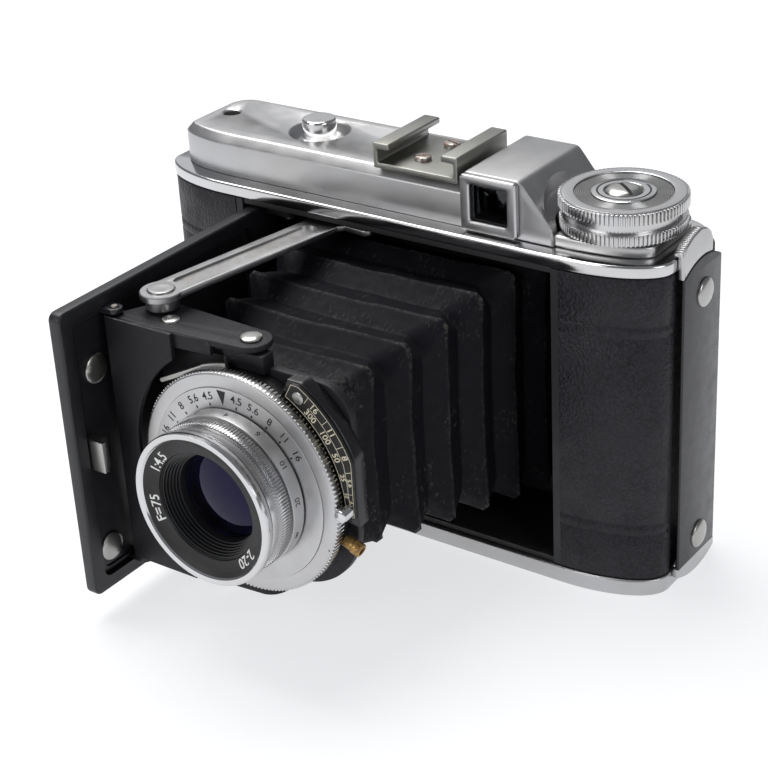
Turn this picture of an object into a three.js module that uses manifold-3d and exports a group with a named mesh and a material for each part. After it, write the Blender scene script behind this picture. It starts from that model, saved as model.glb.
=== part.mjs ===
// Folding roll-film camera for 6 x 6 cm pictures, stored open and ready to shoot.
// Millimetres, +X to the right seen from the front, the lens looks along -Y, +Z up.
// Pieces are drawn with y = 0 on the front plane of the trim and are then moved to the part's frame,
// whose origin is on the underside of the base, below the middle of the body.
import * as THREE from "three";
import { mergeVertices } from "three/addons/utils/BufferGeometryUtils.js";
import Module from "manifold-3d";

const wasm = await Module();
wasm.setup();

// ---------------------------------------------------------------- driving dimensions
const DEPTH = 32; // body, front trim plane to back
const HALF_W = 62.4; // body half width at the chrome trim
const FLAT_W = 42; // half width of the flat front
const NOSE = 9; // depth of the rounded film-chamber noses
const BASE_T = 3.8; // base plate
const TRIM = [72.3, 75]; // top trim flange, z
const HOUSE = [75.1, 84]; // top housing, z
const DECK = [4.0, 5.2]; // lower inner deck; the upper one mirrors it
const MID_Z = 38; // lens axis height, mirror plane of the folding gear
const OPEN_X = [-37.6, 39.8]; // front opening
const SPOOL = { x: 48.4, y: 14.3, flange: 11.7, core: 6.0, length: 63.6 };
const GATE = { y: 23.1, t: 1.4, half: 28 }; // film gate plate and its square window
const HINGE = [-28.5, 5]; // door hinge axis
const DOOR = { x: [-36.5, -33.5], y: [-61.5, 7.7], z: [5.6, 70.4] };
const YOKE_DOOR = [-31.5, -48]; // yoke pivot on the door
const YOKE_LENS = [-0.5, -43.5]; // yoke pivot on the lens board
const STRUT = { pivot: [-16.2, 5.5], end: [-24.7, -41.3], z: [68.6, 70.0] };
const BOARD_Y = [-45, -43];
const KNOB = { x: 48.4, y: 14.3, r: 12.9, top: 85.2 };
const BACK_PIN = [-60.1, 23.4]; // back cover hinge axis
const LATCH_X = [62.5, 63.0];
const LEAF_X = [61.6, 63.9];
const TRIM_BACK = 29.4; // the upper trim stops short of the back cover's face

// ---------------------------------------------------------------- outlines (2-D)
const V = (x, y) => new THREE.Vector2(x, y);
const rad = THREE.MathUtils.degToRad;

function arc(cx, cy, r, from, to, n) {
  return Array.from({ length: n + 1 }, (_, i) => {
    const a = rad(from + ((to - from) * i) / n);
    return V(cx + r * Math.cos(a), cy + r * Math.sin(a));
  });
}
const circle = (r, cx = 0, cy = 0, n = 28) => arc(cx, cy, r, 0, 360, n).slice(0, n);
const rect = (x0, x1, y0, y1) => [V(x0, y0), V(x1, y0), V(x1, y1), V(x0, y1)];

function roundRect(x0, x1, y0, y1, r, n = 3) {
  return [
    ...arc(x1 - r, y1 - r, r, 0, 90, n),
    ...arc(x0 + r, y1 - r, r, 90, 180, n),
    ...arc(x0 + r, y0 + r, r, 180, 270, n),
    ...arc(x1 - r, y0 + r, r, 270, 360, n),
  ];
}

// A bar with a round end of its own radius at each point.
function bar(a, b, ra, rb = ra, n = 10) {
  const t = (Math.atan2(b[1] - a[1], b[0] - a[0]) * 180) / Math.PI;
  return [...arc(b[0], b[1], rb, t - 90, t + 90, n), ...arc(a[0], a[1], ra, t + 90, t + 270, n)];
}

function band(rIn, rOut, from, to, n) {
  return [...arc(0, MID_Z, rOut, from, to, n), ...arc(0, MID_Z, rIn, to, from, n)];
}

function toothed(r, depth, teeth, cx, cy) {
  return Array.from({ length: teeth * 2 }, (_, i) => {
    const a = (Math.PI * i) / teeth;
    const q = i % 2 ? r - depth : r;
    return V(cx + q * Math.cos(a), cy + q * Math.sin(a));
  });
}

// Half of the body's plan, from the flat front round the nose and along the end to the back.
function halfPlan(inset, back, corner, end = HALF_W - inset) {
  const side = [V(FLAT_W, inset)];
  for (let i = 1; i <= 8; i++) {
    const a = rad(-90 + (90 * i) / 8);
    side.push(V(FLAT_W + (end - FLAT_W) * Math.cos(a), NOSE + (NOSE - inset) * Math.sin(a)));
  }
  return [...side, ...arc(end - corner, back - corner, corner, 0, 90, 4)];
}
function plan(inset, back = DEPTH - inset, corner = 6) {
  const half = halfPlan(inset, back, corner);
  return [...half, ...half.map((p) => V(-p.x, p.y)).reverse()];
}

// ---------------------------------------------------------------- solids
function solid(geometry) {
  const g = geometry.index ? geometry.toNonIndexed() : geometry;
  g.deleteAttribute("normal");
  g.deleteAttribute("uv");
  const merged = mergeVertices(g, 1e-4);
  return new wasm.Manifold(
    new wasm.Mesh({
      numProp: 3,
      vertProperties: merged.attributes.position.array,
      triVerts: new Uint32Array(merged.index.array),
    }),
  );
}

// Outline pushed along an axis: z takes (x, y), y takes (x, z) and x takes (y, z).
function prism(axis, outline, from, to, holes = []) {
  const shape = new THREE.Shape(outline);
  for (const h of holes) shape.holes.push(new THREE.Path(h));
  const g = new THREE.ExtrudeGeometry(shape, { depth: to - from, bevelEnabled: false });
  if (axis === "z") g.translate(0, 0, from);
  if (axis === "y") g.rotateX(Math.PI / 2).translate(0, to, 0);
  if (axis === "x") {
    g.applyMatrix4(new THREE.Matrix4().set(0, 0, 1, from, 1, 0, 0, 0, 0, 1, 0, 0, 0, 0, 0, 1));
  }
  return solid(g);
}
const box = (x0, x1, y0, y1, z0, z1) => prism("z", rect(x0, x1, y0, y1), z0, z1);
const disc = (axis, r, from, to, a = 0, b = 0, n = 28) =>
  prism(axis, circle(r, a, b, n), from, to);
const tube = (axis, r, bore, from, to, a = 0, b = 0, n = 28) =>
  prism(axis, circle(r, a, b, n), from, to, [circle(bore, a, b, n)]);

// Closed skin over rings of equal length; the ends are capped, or joined when wrapped.
function loft(rings, wrapped = false) {
  const n = rings[0].length;
  const pos = rings.flatMap((ring) => ring.flatMap((p) => [p.x, p.y, p.z]));
  const idx = [];
  const spans = wrapped ? rings.length : rings.length - 1;
  for (let k = 0; k < spans; k++) {
    const a = k * n;
    const b = ((k + 1) % rings.length) * n;
    for (let i = 0; i < n; i++) {
      const j = (i + 1) % n;
      idx.push(a + i, a + j, b + j, a + i, b + j, b + i);
    }
  }
  if (!wrapped) {
    const last = (rings.length - 1) * n;
    for (let i = 1; i < n - 1; i++) {
      idx.push(0, i + 1, i);
      idx.push(last, last + i, last + i + 1);
    }
  }
  const g = new THREE.BufferGeometry();
  g.setAttribute("position", new THREE.Float32BufferAttribute(pos, 3));
  g.setIndex(idx);
  return solid(g);
}
const level = (outline, z) => outline.map((p) => new THREE.Vector3(p.x, p.y, z));

// Body of revolution about an axis through (a, b); profile points are [radius, height].
function turned(axis, profile, a, b, n = 28) {
  const g = new THREE.LatheGeometry(profile.map(([r, h]) => V(r, h)), n);
  if (axis === "z") g.rotateX(Math.PI / 2).translate(a, b, 0);
  if (axis === "y") g.translate(a, 0, b);
  if (axis === "x") g.rotateZ(-Math.PI / 2).translate(0, a, b);
  return solid(g);
}

const join = (...s) => wasm.Manifold.union(s);
const cut = (s, ...tools) => s.subtract(wasm.Manifold.union(tools));
const flip = (s) => s.mirror([0, 0, 1]).translate([0, 0, 2 * MID_Z]); // about the lens axis height

// ---------------------------------------------------------------- materials
const look = (color, metalness, roughness, extra = {}) =>
  new THREE.MeshStandardMaterial({ color, metalness, roughness, ...extra });
const satin = look(0xb9b8b6, 0.9, 0.35);
const chrome = look(0xd4d4d2, 1.0, 0.15);
const nickel = look(0xbcb9b0, 1.0, 0.28);
const steel = look(0x8d8b86, 0.9, 0.45);
const paint = look(0x15151a, 0.2, 0.4);
const crackle = look(0x1b1b20, 0.1, 0.6);
const leather = look(0x17171d, 0.0, 0.65);
const cloth = look(0x222228, 0.0, 0.8);
const plateBlack = look(0x0c0c0e, 0.1, 0.3);
const brass = look(0xa8843a, 0.9, 0.4);
const glass = look(0x1c2238, 0.0, 0.05, { transparent: true, opacity: 0.6 });
const redGlass = look(0x7a1010, 0.0, 0.15, { transparent: true, opacity: 0.7 });
const wood = look(0x6d1f1a, 0.0, 0.6);

const group = new THREE.Group();
group.name = "folding_camera";

function piece(name, material, body) {
  const mesh = body.getMesh();
  const pos = [];
  for (const v of mesh.triVerts) {
    for (let k = 0; k < 3; k++) pos.push(mesh.vertProperties[v * mesh.numProp + k]);
  }
  const g = new THREE.BufferGeometry();
  g.setAttribute("position", new THREE.Float32BufferAttribute(pos, 3));
  g.translate(0, -DEPTH / 2, 0);
  g.computeVertexNormals();
  const out = new THREE.Mesh(g, material);
  out.name = name;
  group.add(out);
}

// ================================================================ body
// Base plate, with a stepped hole for the tripod bush.
const TRIPOD = [22, 16];
piece(
  "base_plate",
  satin,
  cut(prism("z", plan(0), 0, BASE_T), disc("z", 7.1, -1, BASE_T + 1, ...TRIPOD)),
);
piece("tripod_socket", steel, tube("z", 6.95, 3.0, 0, BASE_T, ...TRIPOD));

// Casting: two decks, the two film-chamber noses, the bay walls and the film gate plate.
const upper = (z) => 2 * MID_Z - z;
const CAVE = 1.8; // wall face inside the noses, from the outline
const deckPlan = plan(0.9, 29.2, 6).map((p) =>
  V(Math.max(p.y > 20 ? -60.2 : -61.5, Math.min(p.x, 60.2)), p.y),
);
const hingeRelief = prism("z", circle(2.6, ...BACK_PIN), DECK[0] - 1, upper(DECK[0]) + 1);
const nosePlan = (side, last) => {
  const outer = halfPlan(0.9, last, 0.01).filter((p) => p.y <= NOSE + 0.01);
  const inner = halfPlan(CAVE, last, 0.01).filter((p) => p.y <= NOSE + 0.01);
  const edge = side > 0 ? OPEN_X[1] : -OPEN_X[0];
  const ring = [
    V(edge, 0.9),
    ...outer,
    V(HALF_W - 0.9, last),
    V(HALF_W - CAVE, last),
    ...inner.reverse(),
    V(edge, CAVE),
  ];
  return side > 0 ? ring : ring.map((p) => V(-p.x, p.y)).reverse();
};
const bayWall = (points) => {
  const back = GATE.y + 0.5;
  return [...points.map(([x, y]) => V(x, y)), V(Math.sign(points[0][0]) * 36.4, back),
    V(Math.sign(points[0][0]) * 35.5, back)];
};
const rightBay = bayWall([[35.5, 11.8], [36.4, 9.2], [39.8, 3.7], [39.8, 0.9], [40.7, 0.9],
  [40.7, 4.0], [37.3, 9.6], [36.4, 12]]);
const leftBay = bayWall([[-35.5, 11.4], [-37.6, 6.9], [-37.6, 0.9], [-38.5, 0.9], [-38.5, 6.9],
  [-36.4, 11.4]]);
const tall = [DECK[1] - 0.1, upper(DECK[1]) + 0.1];
const rollerSlot = (x) => box(x - 2.4, x + 2.4, 22, 30, 6.5, upper(6.5));
const ROLLER_X = 31.8;
const ROLLER_Y = 25.2;
const gatePlate = prism("y", rect(-36.4, 36.4, ...tall), GATE.y, GATE.y + GATE.t, [
  rect(-GATE.half, GATE.half, MID_Z - GATE.half, MID_Z + GATE.half).reverse(),
]);
const deck = prism("z", deckPlan, ...DECK);
const keyHole = disc("z", 2.7, 60, 90, KNOB.x, KNOB.y);
const spoolPegs = [
  turned("z", [[0, 4.5], [2.4, 4.5], [2.4, 7.2], [1.4, 8.2], [0, 8.2]], -SPOOL.x, SPOOL.y, 12),
  turned("z", [[0, 4.5], [2.4, 4.5], [2.4, 7.2], [1.4, 8.2], [0, 8.2]], SPOOL.x, SPOOL.y, 12),
  flip(turned("z", [[0, 4.5], [2.4, 4.5], [2.4, 7.2], [1.4, 8.2], [0, 8.2]], -SPOOL.x, SPOOL.y, 12)),
];
const rollerHoles = [-1, 1].flatMap((s) => [
  disc("z", 0.9, 3, 6.5, s * ROLLER_X, ROLLER_Y, 16),
  disc("z", 0.9, upper(6.5), 74, s * ROLLER_X, ROLLER_Y, 16),
]);
piece(
  "body_casting",
  paint,
  cut(
    join(
      deck,
      flip(deck),
      prism("z", nosePlan(1, 10), ...tall),
      prism("z", nosePlan(-1, 19.6), ...tall),
      prism("z", rightBay, ...tall),
      prism("z", leftBay, ...tall),
      gatePlate,
      ...spoolPegs,
    ),
    hingeRelief,
    keyHole,
    rollerSlot(ROLLER_X),
    rollerSlot(-ROLLER_X),
    ...rollerHoles,
  ),
);

// Trim flange and top housing.
const upperTrim = prism("z", plan(0, TRIM_BACK, 8), ...TRIM);
piece("top_trim", chrome, cut(upperTrim, keyHole));

const SHOE = { x: [-4.0, 16.6], y: [3.6, 22.6], floor: 85.3, top: 89.6 };
const SHOE_SCREWS = [[4.4, 9.4], [5.4, 18.8]];
const RELEASE = [-27.6, 16.6];
const CABLE = [-52.6, 17.1];
const HUMP = { x: [18.2, 31.3], y: [3.2, 26.6], top: 87.5, window: [20.4, 29.1, 77.7, 85.6] };
const housePlan = (inset) => {
  const half = halfPlan(inset, 28.1 + 3.9 - inset, 4.5).map((p) => V(-p.x, p.y));
  return [V(20, inset), ...half, V(20, 28.1 + 3.9 - inset)].reverse();
};
const block = loft([
  level(housePlan(3.9), HOUSE[0]),
  level(housePlan(3.9), HOUSE[1] - 1.75),
  level(housePlan(5.65), HOUSE[1]),
]);
const blockHollow = loft([
  level(housePlan(5.1), HOUSE[0] - 1),
  level(housePlan(5.1), HOUSE[1] - 2.4),
  level(housePlan(6.3), HOUSE[1] - 1.2),
]);
const humpSide = [
  V(HUMP.x[0], HOUSE[0]),
  V(38.8, HOUSE[0]),
  V(38.8, 78.2),
  V(HUMP.x[1], HUMP.top),
  V(HUMP.x[0] + 0.8, HUMP.top),
  V(HUMP.x[0], HUMP.top - 0.8),
];
const platform = cut(
  prism("z", plan(3.9), HOUSE[0], 77.5),
  prism("z", plan(5.1), HOUSE[0] - 1, 76.4),
  box(-70, 30, 0, DEPTH, HOUSE[0] - 1, 78),
);
const dish = turned(
  "z",
  [[0, 80], [4.0, 80], [4.0, 81.4], [5.2, 81.6], [6.9, 84.01], [6.9, 86], [0, 86]],
  ...RELEASE,
  28,
);
piece(
  "top_housing",
  satin,
  cut(
    join(
      cut(block, blockHollow),
      platform,
      prism("y", humpSide, ...HUMP.y),
      disc("z", 8.0, 80.4, 83.5, ...RELEASE),
      disc("z", 3.6, 79.0, 83.5, ...CABLE),
    ),
    dish,
    disc("z", 1.9, 78, 86, ...CABLE, 32),
    disc("z", 15.6, 77.5, 90, KNOB.x, KNOB.y, 48),
    keyHole,
    prism("y", rect(...HUMP.window), 0, 40),
    ...SHOE_SCREWS.map((p) => disc("z", 1.15, 80, 86, ...p, 16)),
  ),
);

// Viewfinder: bright bezel on the front of the hump, with a lens at each end of the tunnel.
const [WX0, WX1, WZ0, WZ1] = HUMP.window;
piece(
  "viewfinder_bezel",
  chrome,
  prism("y", roundRect(HUMP.x[0], HUMP.x[1], 75.5, HUMP.top - 0.1, 0.7), 1.7, HUMP.y[0] - 0.1, [
    rect(WX0, WX1, WZ0, WZ1).reverse(),
  ]),
);
const finderGlass = (y) => box(WX0 + 0.1, WX1 - 0.1, y, y + 1, WZ0 + 0.1, WZ1 - 0.1);
piece("viewfinder_lens", glass, finderGlass(4.2));
piece("viewfinder_eyepiece", glass, finderGlass(24.4));

// Accessory shoe: floor plate with two rails that turn inwards.
const shoeProfile = [
  V(SHOE.x[0], 84.1), V(SHOE.x[1], 84.1), V(SHOE.x[1], SHOE.top),
  V(SHOE.x[1] - 3.95, SHOE.top), V(SHOE.x[1] - 3.95, 88.2), V(SHOE.x[1] - 1, 88.2),
  V(SHOE.x[1] - 1, SHOE.floor), V(SHOE.x[0] + 1, SHOE.floor), V(SHOE.x[0] + 1, 88.2),
  V(SHOE.x[0] + 3.95, 88.2), V(SHOE.x[0] + 3.95, SHOE.top), V(SHOE.x[0], SHOE.top),
];
piece(
  "accessory_shoe",
  nickel,
  cut(
    prism("y", shoeProfile, ...SHOE.y),
    ...SHOE_SCREWS.map((p) => disc("z", 1.15, 80, 86, ...p, 16)),
  ),
);
SHOE_SCREWS.forEach(([x, y], i) =>
  piece(
    `shoe_screw_${i + 1}`,
    steel,
    cut(
      join(disc("z", 1.0, 81.5, 85.6, x, y, 16), disc("z", 1.8, 85.4, 86.3, x, y, 20)),
      box(x - 2.5, x + 2.5, y - 0.25, y + 0.25, 85.9, 87),
    ),
  ),
);

// Leather on the noses, and round the left end as far as the back hinge.
const skinPlan = (side, last) => {
  const outer = halfPlan(0.3, last, 0.01).filter((p) => p.y <= NOSE + 0.01);
  const inner = halfPlan(0.8, last, 0.01).filter((p) => p.y <= NOSE + 0.01);
  const edge = side > 0 ? OPEN_X[1] : -OPEN_X[0];
  const ring = [V(edge, 0.3), ...outer, V(HALF_W - 0.3, last), V(HALF_W - 0.8, last),
    ...inner.reverse(), V(edge, 0.8)];
  return side > 0 ? ring : ring.map((p) => V(-p.x, p.y)).reverse();
};
piece("right_leather", leather, prism("z", skinPlan(1, 9.9), BASE_T + 0.2, TRIM[0] - 0.2));
piece("left_leather", leather, prism("z", skinPlan(-1, 19.6), BASE_T + 0.2, TRIM[0] - 0.2));

// Hinge pins of the door and the back, and the struts' pivots under the decks.
const pinFloor = BASE_T + 0.1;
const doorPin = disc("z", 1.0, upper(8.4), upper(DECK[1] + 0.1), ...HINGE, 16);
piece("door_hinge_pin_top", steel, doorPin);
piece("door_hinge_pin_bottom", steel, flip(doorPin));
piece("back_hinge_pin", steel, disc("z", 0.9, pinFloor, TRIM[0] - 0.1, ...BACK_PIN, 16));
const strutPin = turned(
  "z",
  [[0, 67.5], [2.0, 67.5], [2.3, 67.9], [2.3, 68.4], [1.2, 68.4], [1.2, 70.7], [0, 70.7]],
  ...STRUT.pivot,
  16,
);
piece("strut_pin_top", nickel, strutPin);
piece("strut_pin_bottom", nickel, flip(strutPin));

// ================================================================ door
const [DX0, DX1] = DOOR.x;
const doorPlate = prism("x", roundRect(...DOOR.y, ...DOOR.z, 1.6), DX0, DX1);
const tray = box(DX1 - 1.5, DX1 + 1, DOOR.y[0] + 3.2, -2, DOOR.z[0] + 3.0, DOOR.z[1] - 3.0);
const doorLug = join(
  prism("z", bar([DX0 + 2, 5.2], HINGE, 2.0, 2.1), 5.9, 7.6),
);
const yokeLug = prism("z", bar([DX1 - 1, YOKE_DOOR[1]], YOKE_DOOR, 1.7), 66.3, 67.5);
piece(
  "door_plate",
  paint,
  cut(
    join(cut(doorPlate, tray), doorLug, flip(doorLug), yokeLug, flip(yokeLug)),
    disc("z", 1.1, 0, 80, ...HINGE, 20),
    disc("z", 0.8, 66, 68, ...YOKE_DOOR, 16),
    disc("z", 0.8, 8, 10, ...YOKE_DOOR, 16),
  ),
);
piece("door_leather", leather, prism("x", roundRect(-59, -3, 8.2, 67.8, 2), DX0 - 0.6, DX0 - 0.1));
piece("yoke_hinge_pin", steel, disc("z", 0.7, 8.2, upper(8.2), ...YOKE_DOOR, 16));
const trayX = DX1 - 1.5;
const domed = (x, r, y, z) =>
  turned("x", [[0, x], [r, x], [r * 0.92, x + 0.45], [r * 0.55, x + 0.85], [0, x + 1]], y, z, 20);
piece("door_rivet_upper", nickel, domed(trayX + 0.1, 3.2, -52.0, 54.8));
piece("door_rivet_lower", nickel, domed(trayX + 0.1, 3.2, -54.2, 14.0));
piece(
  "door_latch_hook",
  steel,
  prism("z", [V(trayX + 0.1, -57.9), V(-29.9, -57.9), V(-29.9, -56.4), V(-31.0, -57.0),
    V(-31.0, -55.0), V(trayX + 0.1, -55.0)], 34.5, 41.5),
);

// ================================================================ struts
const [SZ0, SZ1] = STRUT.z;
const strutPlate = join(
  prism("z", bar(STRUT.pivot, STRUT.end, 4.0), SZ0, SZ1),
  disc("z", 5.2, SZ0, SZ1, ...STRUT.pivot, 20),
  prism("z", bar(STRUT.pivot, [-6.8, 3.6], 2.6, 1.5, 6), SZ0, SZ1),
);
const groove = prism("z", bar([-17.4, -3], [-23.6, -35.5], 2.2), SZ1 - 0.45, SZ1 + 1);
const rivet = turned(
  "z",
  [[0, 66.3], [3.4, 66.3], [3.4, SZ0 + 0.2], [4.4, SZ0 + 0.2], [4.4, SZ1], [3.2, 70.6],
    [2.3, 70.6], [1.7, SZ1 - 0.4], [0, SZ1 - 0.4]],
  ...STRUT.end,
  16,
);
const strut = cut(
  join(cut(strutPlate, groove, disc("z", 3.0, SZ0 - 1, SZ1 + 1, ...STRUT.end)), rivet),
  disc("z", 1.3, 60, 72, ...STRUT.pivot, 20),
);
piece("strut_top", chrome, strut);
piece("strut_bottom", chrome, flip(strut));

// ================================================================ yoke
const ARM = [64.7, 66.0];
const yokeArm = join(
  prism("z", [
    ...arc(...YOKE_LENS, 4.2, -80, 100, 8),
    V(-22.5, -38.2), V(-27.2, -39.4), V(-31.0, -46.4),
    ...arc(...YOKE_DOOR, 1.7, 110, 250, 6),
    V(-30.6, -50.0),
  ], ...ARM),
  prism("z", [V(-30.0, -50.1), V(-27, -50.1), V(-7.0, -48.3), V(-7.0, -47.2), V(-27, -49.0),
    V(-30.0, -49.0)], 62.7, ARM[1]),
);
const web = cut(
  join(box(-32.6, -15.5, -50.2, -49.0, upper(ARM[1]), ARM[1]),
    box(-32.6, -31.4, -50.2, -46.6, upper(ARM[1]), ARM[1])),
  disc("y", 27.2, -60, -40, 0, MID_Z, 36),
);
piece(
  "yoke",
  crackle,
  cut(
    join(yokeArm, flip(yokeArm), web, disc("z", 1.7, upper(ARM[1]), ARM[1], ...YOKE_DOOR, 20)),
    disc("z", 0.8, 0, 80, ...YOKE_DOOR, 16),
    disc("z", 1.25, 60, 70, ...YOKE_LENS, 20),
    disc("z", 1.25, 5, 15, ...YOKE_LENS, 20),
  ),
);

// ================================================================ lens standard
const ear = join(
  box(-5.5, 4.5, BOARD_Y[0], BOARD_Y[1], 58, 64.3),
  box(-4.5, 3.5, -46.5, BOARD_Y[1], 63.2, 64.3),
  turned(
    "z",
    [[0, 63.8], [1.15, 63.8], [1.15, 66.2], [2.2, 66.2], [2.0, 66.8], [0, 66.8]],
    ...YOKE_LENS,
    20,
  ),
);
piece(
  "lens_board",
  crackle,
  cut(
    join(prism("y", roundRect(-23.5, 23.5, 14.5, 61.5, 7), ...BOARD_Y), ear, flip(ear)),
    disc("y", 13.0, -50, -40, 0, MID_Z),
  ),
);
// A dial sector whose outer edge is trimmed to clear the body's opening and the yoke.
const sector = (r0, r1, a0, a1, xMax, zMax) =>
  band(r0, r1, a0, a1, 24).map((p) => V(Math.min(p.x, xMax), Math.min(p.y, zMax)));
piece(
  "shutter_housing",
  paint,
  cut(
    join(
      disc("y", 22.6, -49.0, -45.1, 0, MID_Z, 36),
      disc("y", 20.6, -51.2, -48.9, 0, MID_Z, 36),
      prism("y", sector(15, 28.6, -7, 66, 26.4, 62.4), -48.4, -45.1),
    ),
    disc("y", 12.6, -60, -40, 0, MID_Z),
  ),
);
piece("depth_scale_plate", satin, tube("y", 20.6, 14.2, -52.0, -51.3, 0, MID_Z, 36));
piece("speed_scale_plate", plateBlack, prism("y", sector(23.95, 28.3, -3, 62, 26.2, 62.2), -49.2, -48.5));
const polar = (r, a) => [r * Math.cos(rad(a)), MID_Z + r * Math.sin(rad(a))];
piece(
  "sync_socket",
  brass,
  prism("y", bar(polar(24.4, -21), polar(26.3, -21), 1.6), -48.6, -45.4),
);
piece(
  "rear_cell",
  paint,
  join(
    tube("y", 11.9, 9.4, -46.5, -39.6, 0, MID_Z),
    tube("y", 12.4, 9.4, -48.5, -46.4, 0, MID_Z),
  ),
);
const lensDisc = (r, front, back, bulge) =>
  turned(
    "y",
    [[0, front - bulge], [r * 0.55, front - bulge * 0.72], [r, front], [r, back], [0, back]],
    0,
    MID_Z,
    32,
  );
piece("rear_lens", glass, lensDisc(9.2, -42.2, -40.4, 0.6));
piece("iris_blades", steel, tube("y", 12.3, 5.5, -49.2, -48.8, 0, MID_Z));

// Rings and levers carried by the shutter.
const speedTooth = toothed(23.8, 0.6, 44, 0, MID_Z);
piece("speed_ring", chrome, prism("y", speedTooth, -51.6, -49.2, [circle(20.8, 0, MID_Z, 36)]));
piece(
  "cocking_lever",
  nickel,
  join(
    prism("y", band(22.9, 24.4, 97, 113, 5), -49.0, -48.0),
    prism("y", bar(polar(23.7, 112), [-20.2, MID_Z + 16.4], 0.6, 0.5, 4), -48.9, -48.1),
  ).intersect(cut(disc("y", 40, -60, -40, 0, MID_Z), disc("y", 22.8, -60, -40, 0, MID_Z, 36))),
);
piece(
  "aperture_lever",
  chrome,
  join(
    prism("y", band(24.0, 25.6, -1.5, 4.0, 2), -50.6, -49.9),
    disc("y", 1.2, -52.8, -50.0, ...polar(25.2, 1.5), 16),
  ),
);

// Focusing ring, and the front cell that it carries forward on its helix.
piece(
  "focus_ring",
  chrome,
  join(
    prism("y", toothed(16.2, 0.5, 36, 0, MID_Z), -58.4, -55.4, [circle(13.2, 0, MID_Z)]),
    tube("y", 16.5, 13.2, -55.5, -52.3, 0, MID_Z),
    tube("y", 15.2, 13.2, -60.6, -58.3, 0, MID_Z),
  ),
);
const cellProfile = [
  [14.6, -63.2], [15.4, -63.6], [16.3, -63.4], [16.3, -61.2], [12.9, -61.2], [12.9, -51.4],
  [9.4, -51.4], [9.4, -57.4], [14.6, -63.2],
];
piece("front_cell", chrome, turned("y", cellProfile, 0, MID_Z, 36));
piece("front_lens", glass, lensDisc(9.1, -56.6, -53.5, 1.6));

// ================================================================ bellows
const PLEATS = 6;
const bellowsRing = (t, y, out) => {
  const hx = THREE.MathUtils.lerp(22.5, 31, t) + out;
  const hz = THREE.MathUtils.lerp(21.5, 29.2, t) + out;
  const c = 3;
  return [[hx - c, -hz], [hx, -hz + c], [hx, hz - c], [hx - c, hz], [-hx + c, hz], [-hx, hz - c],
    [-hx, -hz + c], [-hx + c, -hz]].map(([x, z]) => new THREE.Vector3(x, y, MID_Z + z));
};
const outside = [];
for (let i = 0; i <= PLEATS * 2; i++) {
  const t = i / (PLEATS * 2);
  const y = THREE.MathUtils.lerp(BOARD_Y[1] + 0.2, GATE.y - 0.2, t);
  outside.push([t, y, i % 2 ? 0 : -3.4]);
}
const inside = outside.map(([t, y, out]) => [t, y, out - 1.1]).reverse();
const skin = [...outside, ...inside].reverse().map((r) => bellowsRing(...r));
piece("bellows", cloth, loft(skin, true));

// ================================================================ film path
const spoolBody = join(
  disc("z", SPOOL.flange, 0, 1, 0, 0, 24),
  disc("z", SPOOL.core, 0.9, SPOOL.length - 0.9, 0, 0, 16),
  disc("z", SPOOL.flange, SPOOL.length - 1, SPOOL.length, 0, 0, 24),
);
const spool = cut(
  spoolBody,
  disc("z", 2.7, -1, 4.5, 0, 0, 12),
  disc("z", 2.7, SPOOL.length - 4.5, SPOOL.length + 1, 0, 0, 12),
  box(-4.2, 4.2, -0.9, 0.9, SPOOL.length - 3.5, SPOOL.length + 1),
  box(-0.7, 0.7, -7, 7, 8, SPOOL.length - 8),
);
const spoolZ = MID_Z - SPOOL.length / 2;
piece("takeup_spool", wood, spool.translate([SPOOL.x, SPOOL.y, spoolZ]));
piece("supply_spool", wood, spool.translate([-SPOOL.x, SPOOL.y, spoolZ]));
for (const [name, s] of [["left", -1], ["right", 1]]) {
  piece(
    `film_roller_${name}`,
    nickel,
    turned(
      "z",
      [[0, 4.9], [0.8, 4.9], [0.8, 7.2], [2.0, 7.2], [2.0, upper(7.2)], [0.8, upper(7.2)],
        [0.8, upper(4.9)], [0, upper(4.9)]],
      s * ROLLER_X,
      ROLLER_Y,
      14,
    ),
  );
}

// ================================================================ winding knob, release
const knurled = (z0, z1, r) => prism("z", toothed(r, 0.5, 36, KNOB.x, KNOB.y), z0, z1);
piece(
  "winding_knob",
  chrome,
  cut(
    join(
      knurled(82.6, 84.9, KNOB.r),
      knurled(78.3, 80.5, KNOB.r - 0.2),
      disc("z", 11.4, 80.4, 82.7, KNOB.x, KNOB.y),
      disc("z", 12.5, 84.8, KNOB.top, KNOB.x, KNOB.y, 36),
      disc("z", 2.5, 66.3, 79, KNOB.x, KNOB.y, 24),
      box(KNOB.x - 4.0, KNOB.x + 4.0, KNOB.y - 0.6, KNOB.y + 0.6, 66.8, 69.2),
    ),
    tube("z", 9.8, 6.4, KNOB.top - 0.6, 90, KNOB.x, KNOB.y),
    disc("z", 3.9, KNOB.top - 0.5, 90, KNOB.x, KNOB.y, 28),
    disc("z", 1.4, 78, 90, KNOB.x, KNOB.y, 16),
  ),
);
piece(
  "knob_screw",
  nickel,
  cut(
    turned(
      "z",
      [[0, 79], [1.2, 79], [1.2, 84.8], [3.7, 84.8], [3.5, 85.4], [2.2, 85.9], [0, 86.0]],
      KNOB.x,
      KNOB.y,
      28,
    ),
    box(KNOB.x - 5, KNOB.x + 5, KNOB.y - 0.35, KNOB.y + 0.35, 85.2, 87),
  ),
);
piece(
  "release_button",
  chrome,
  turned(
    "z",
    [[0, 78.0], [4.6, 78.0], [4.6, 79.8], [3.75, 79.8], [3.75, 86.5], [3.2, 87.0], [0, 86.8]],
    ...RELEASE,
    28,
  ),
);

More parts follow.
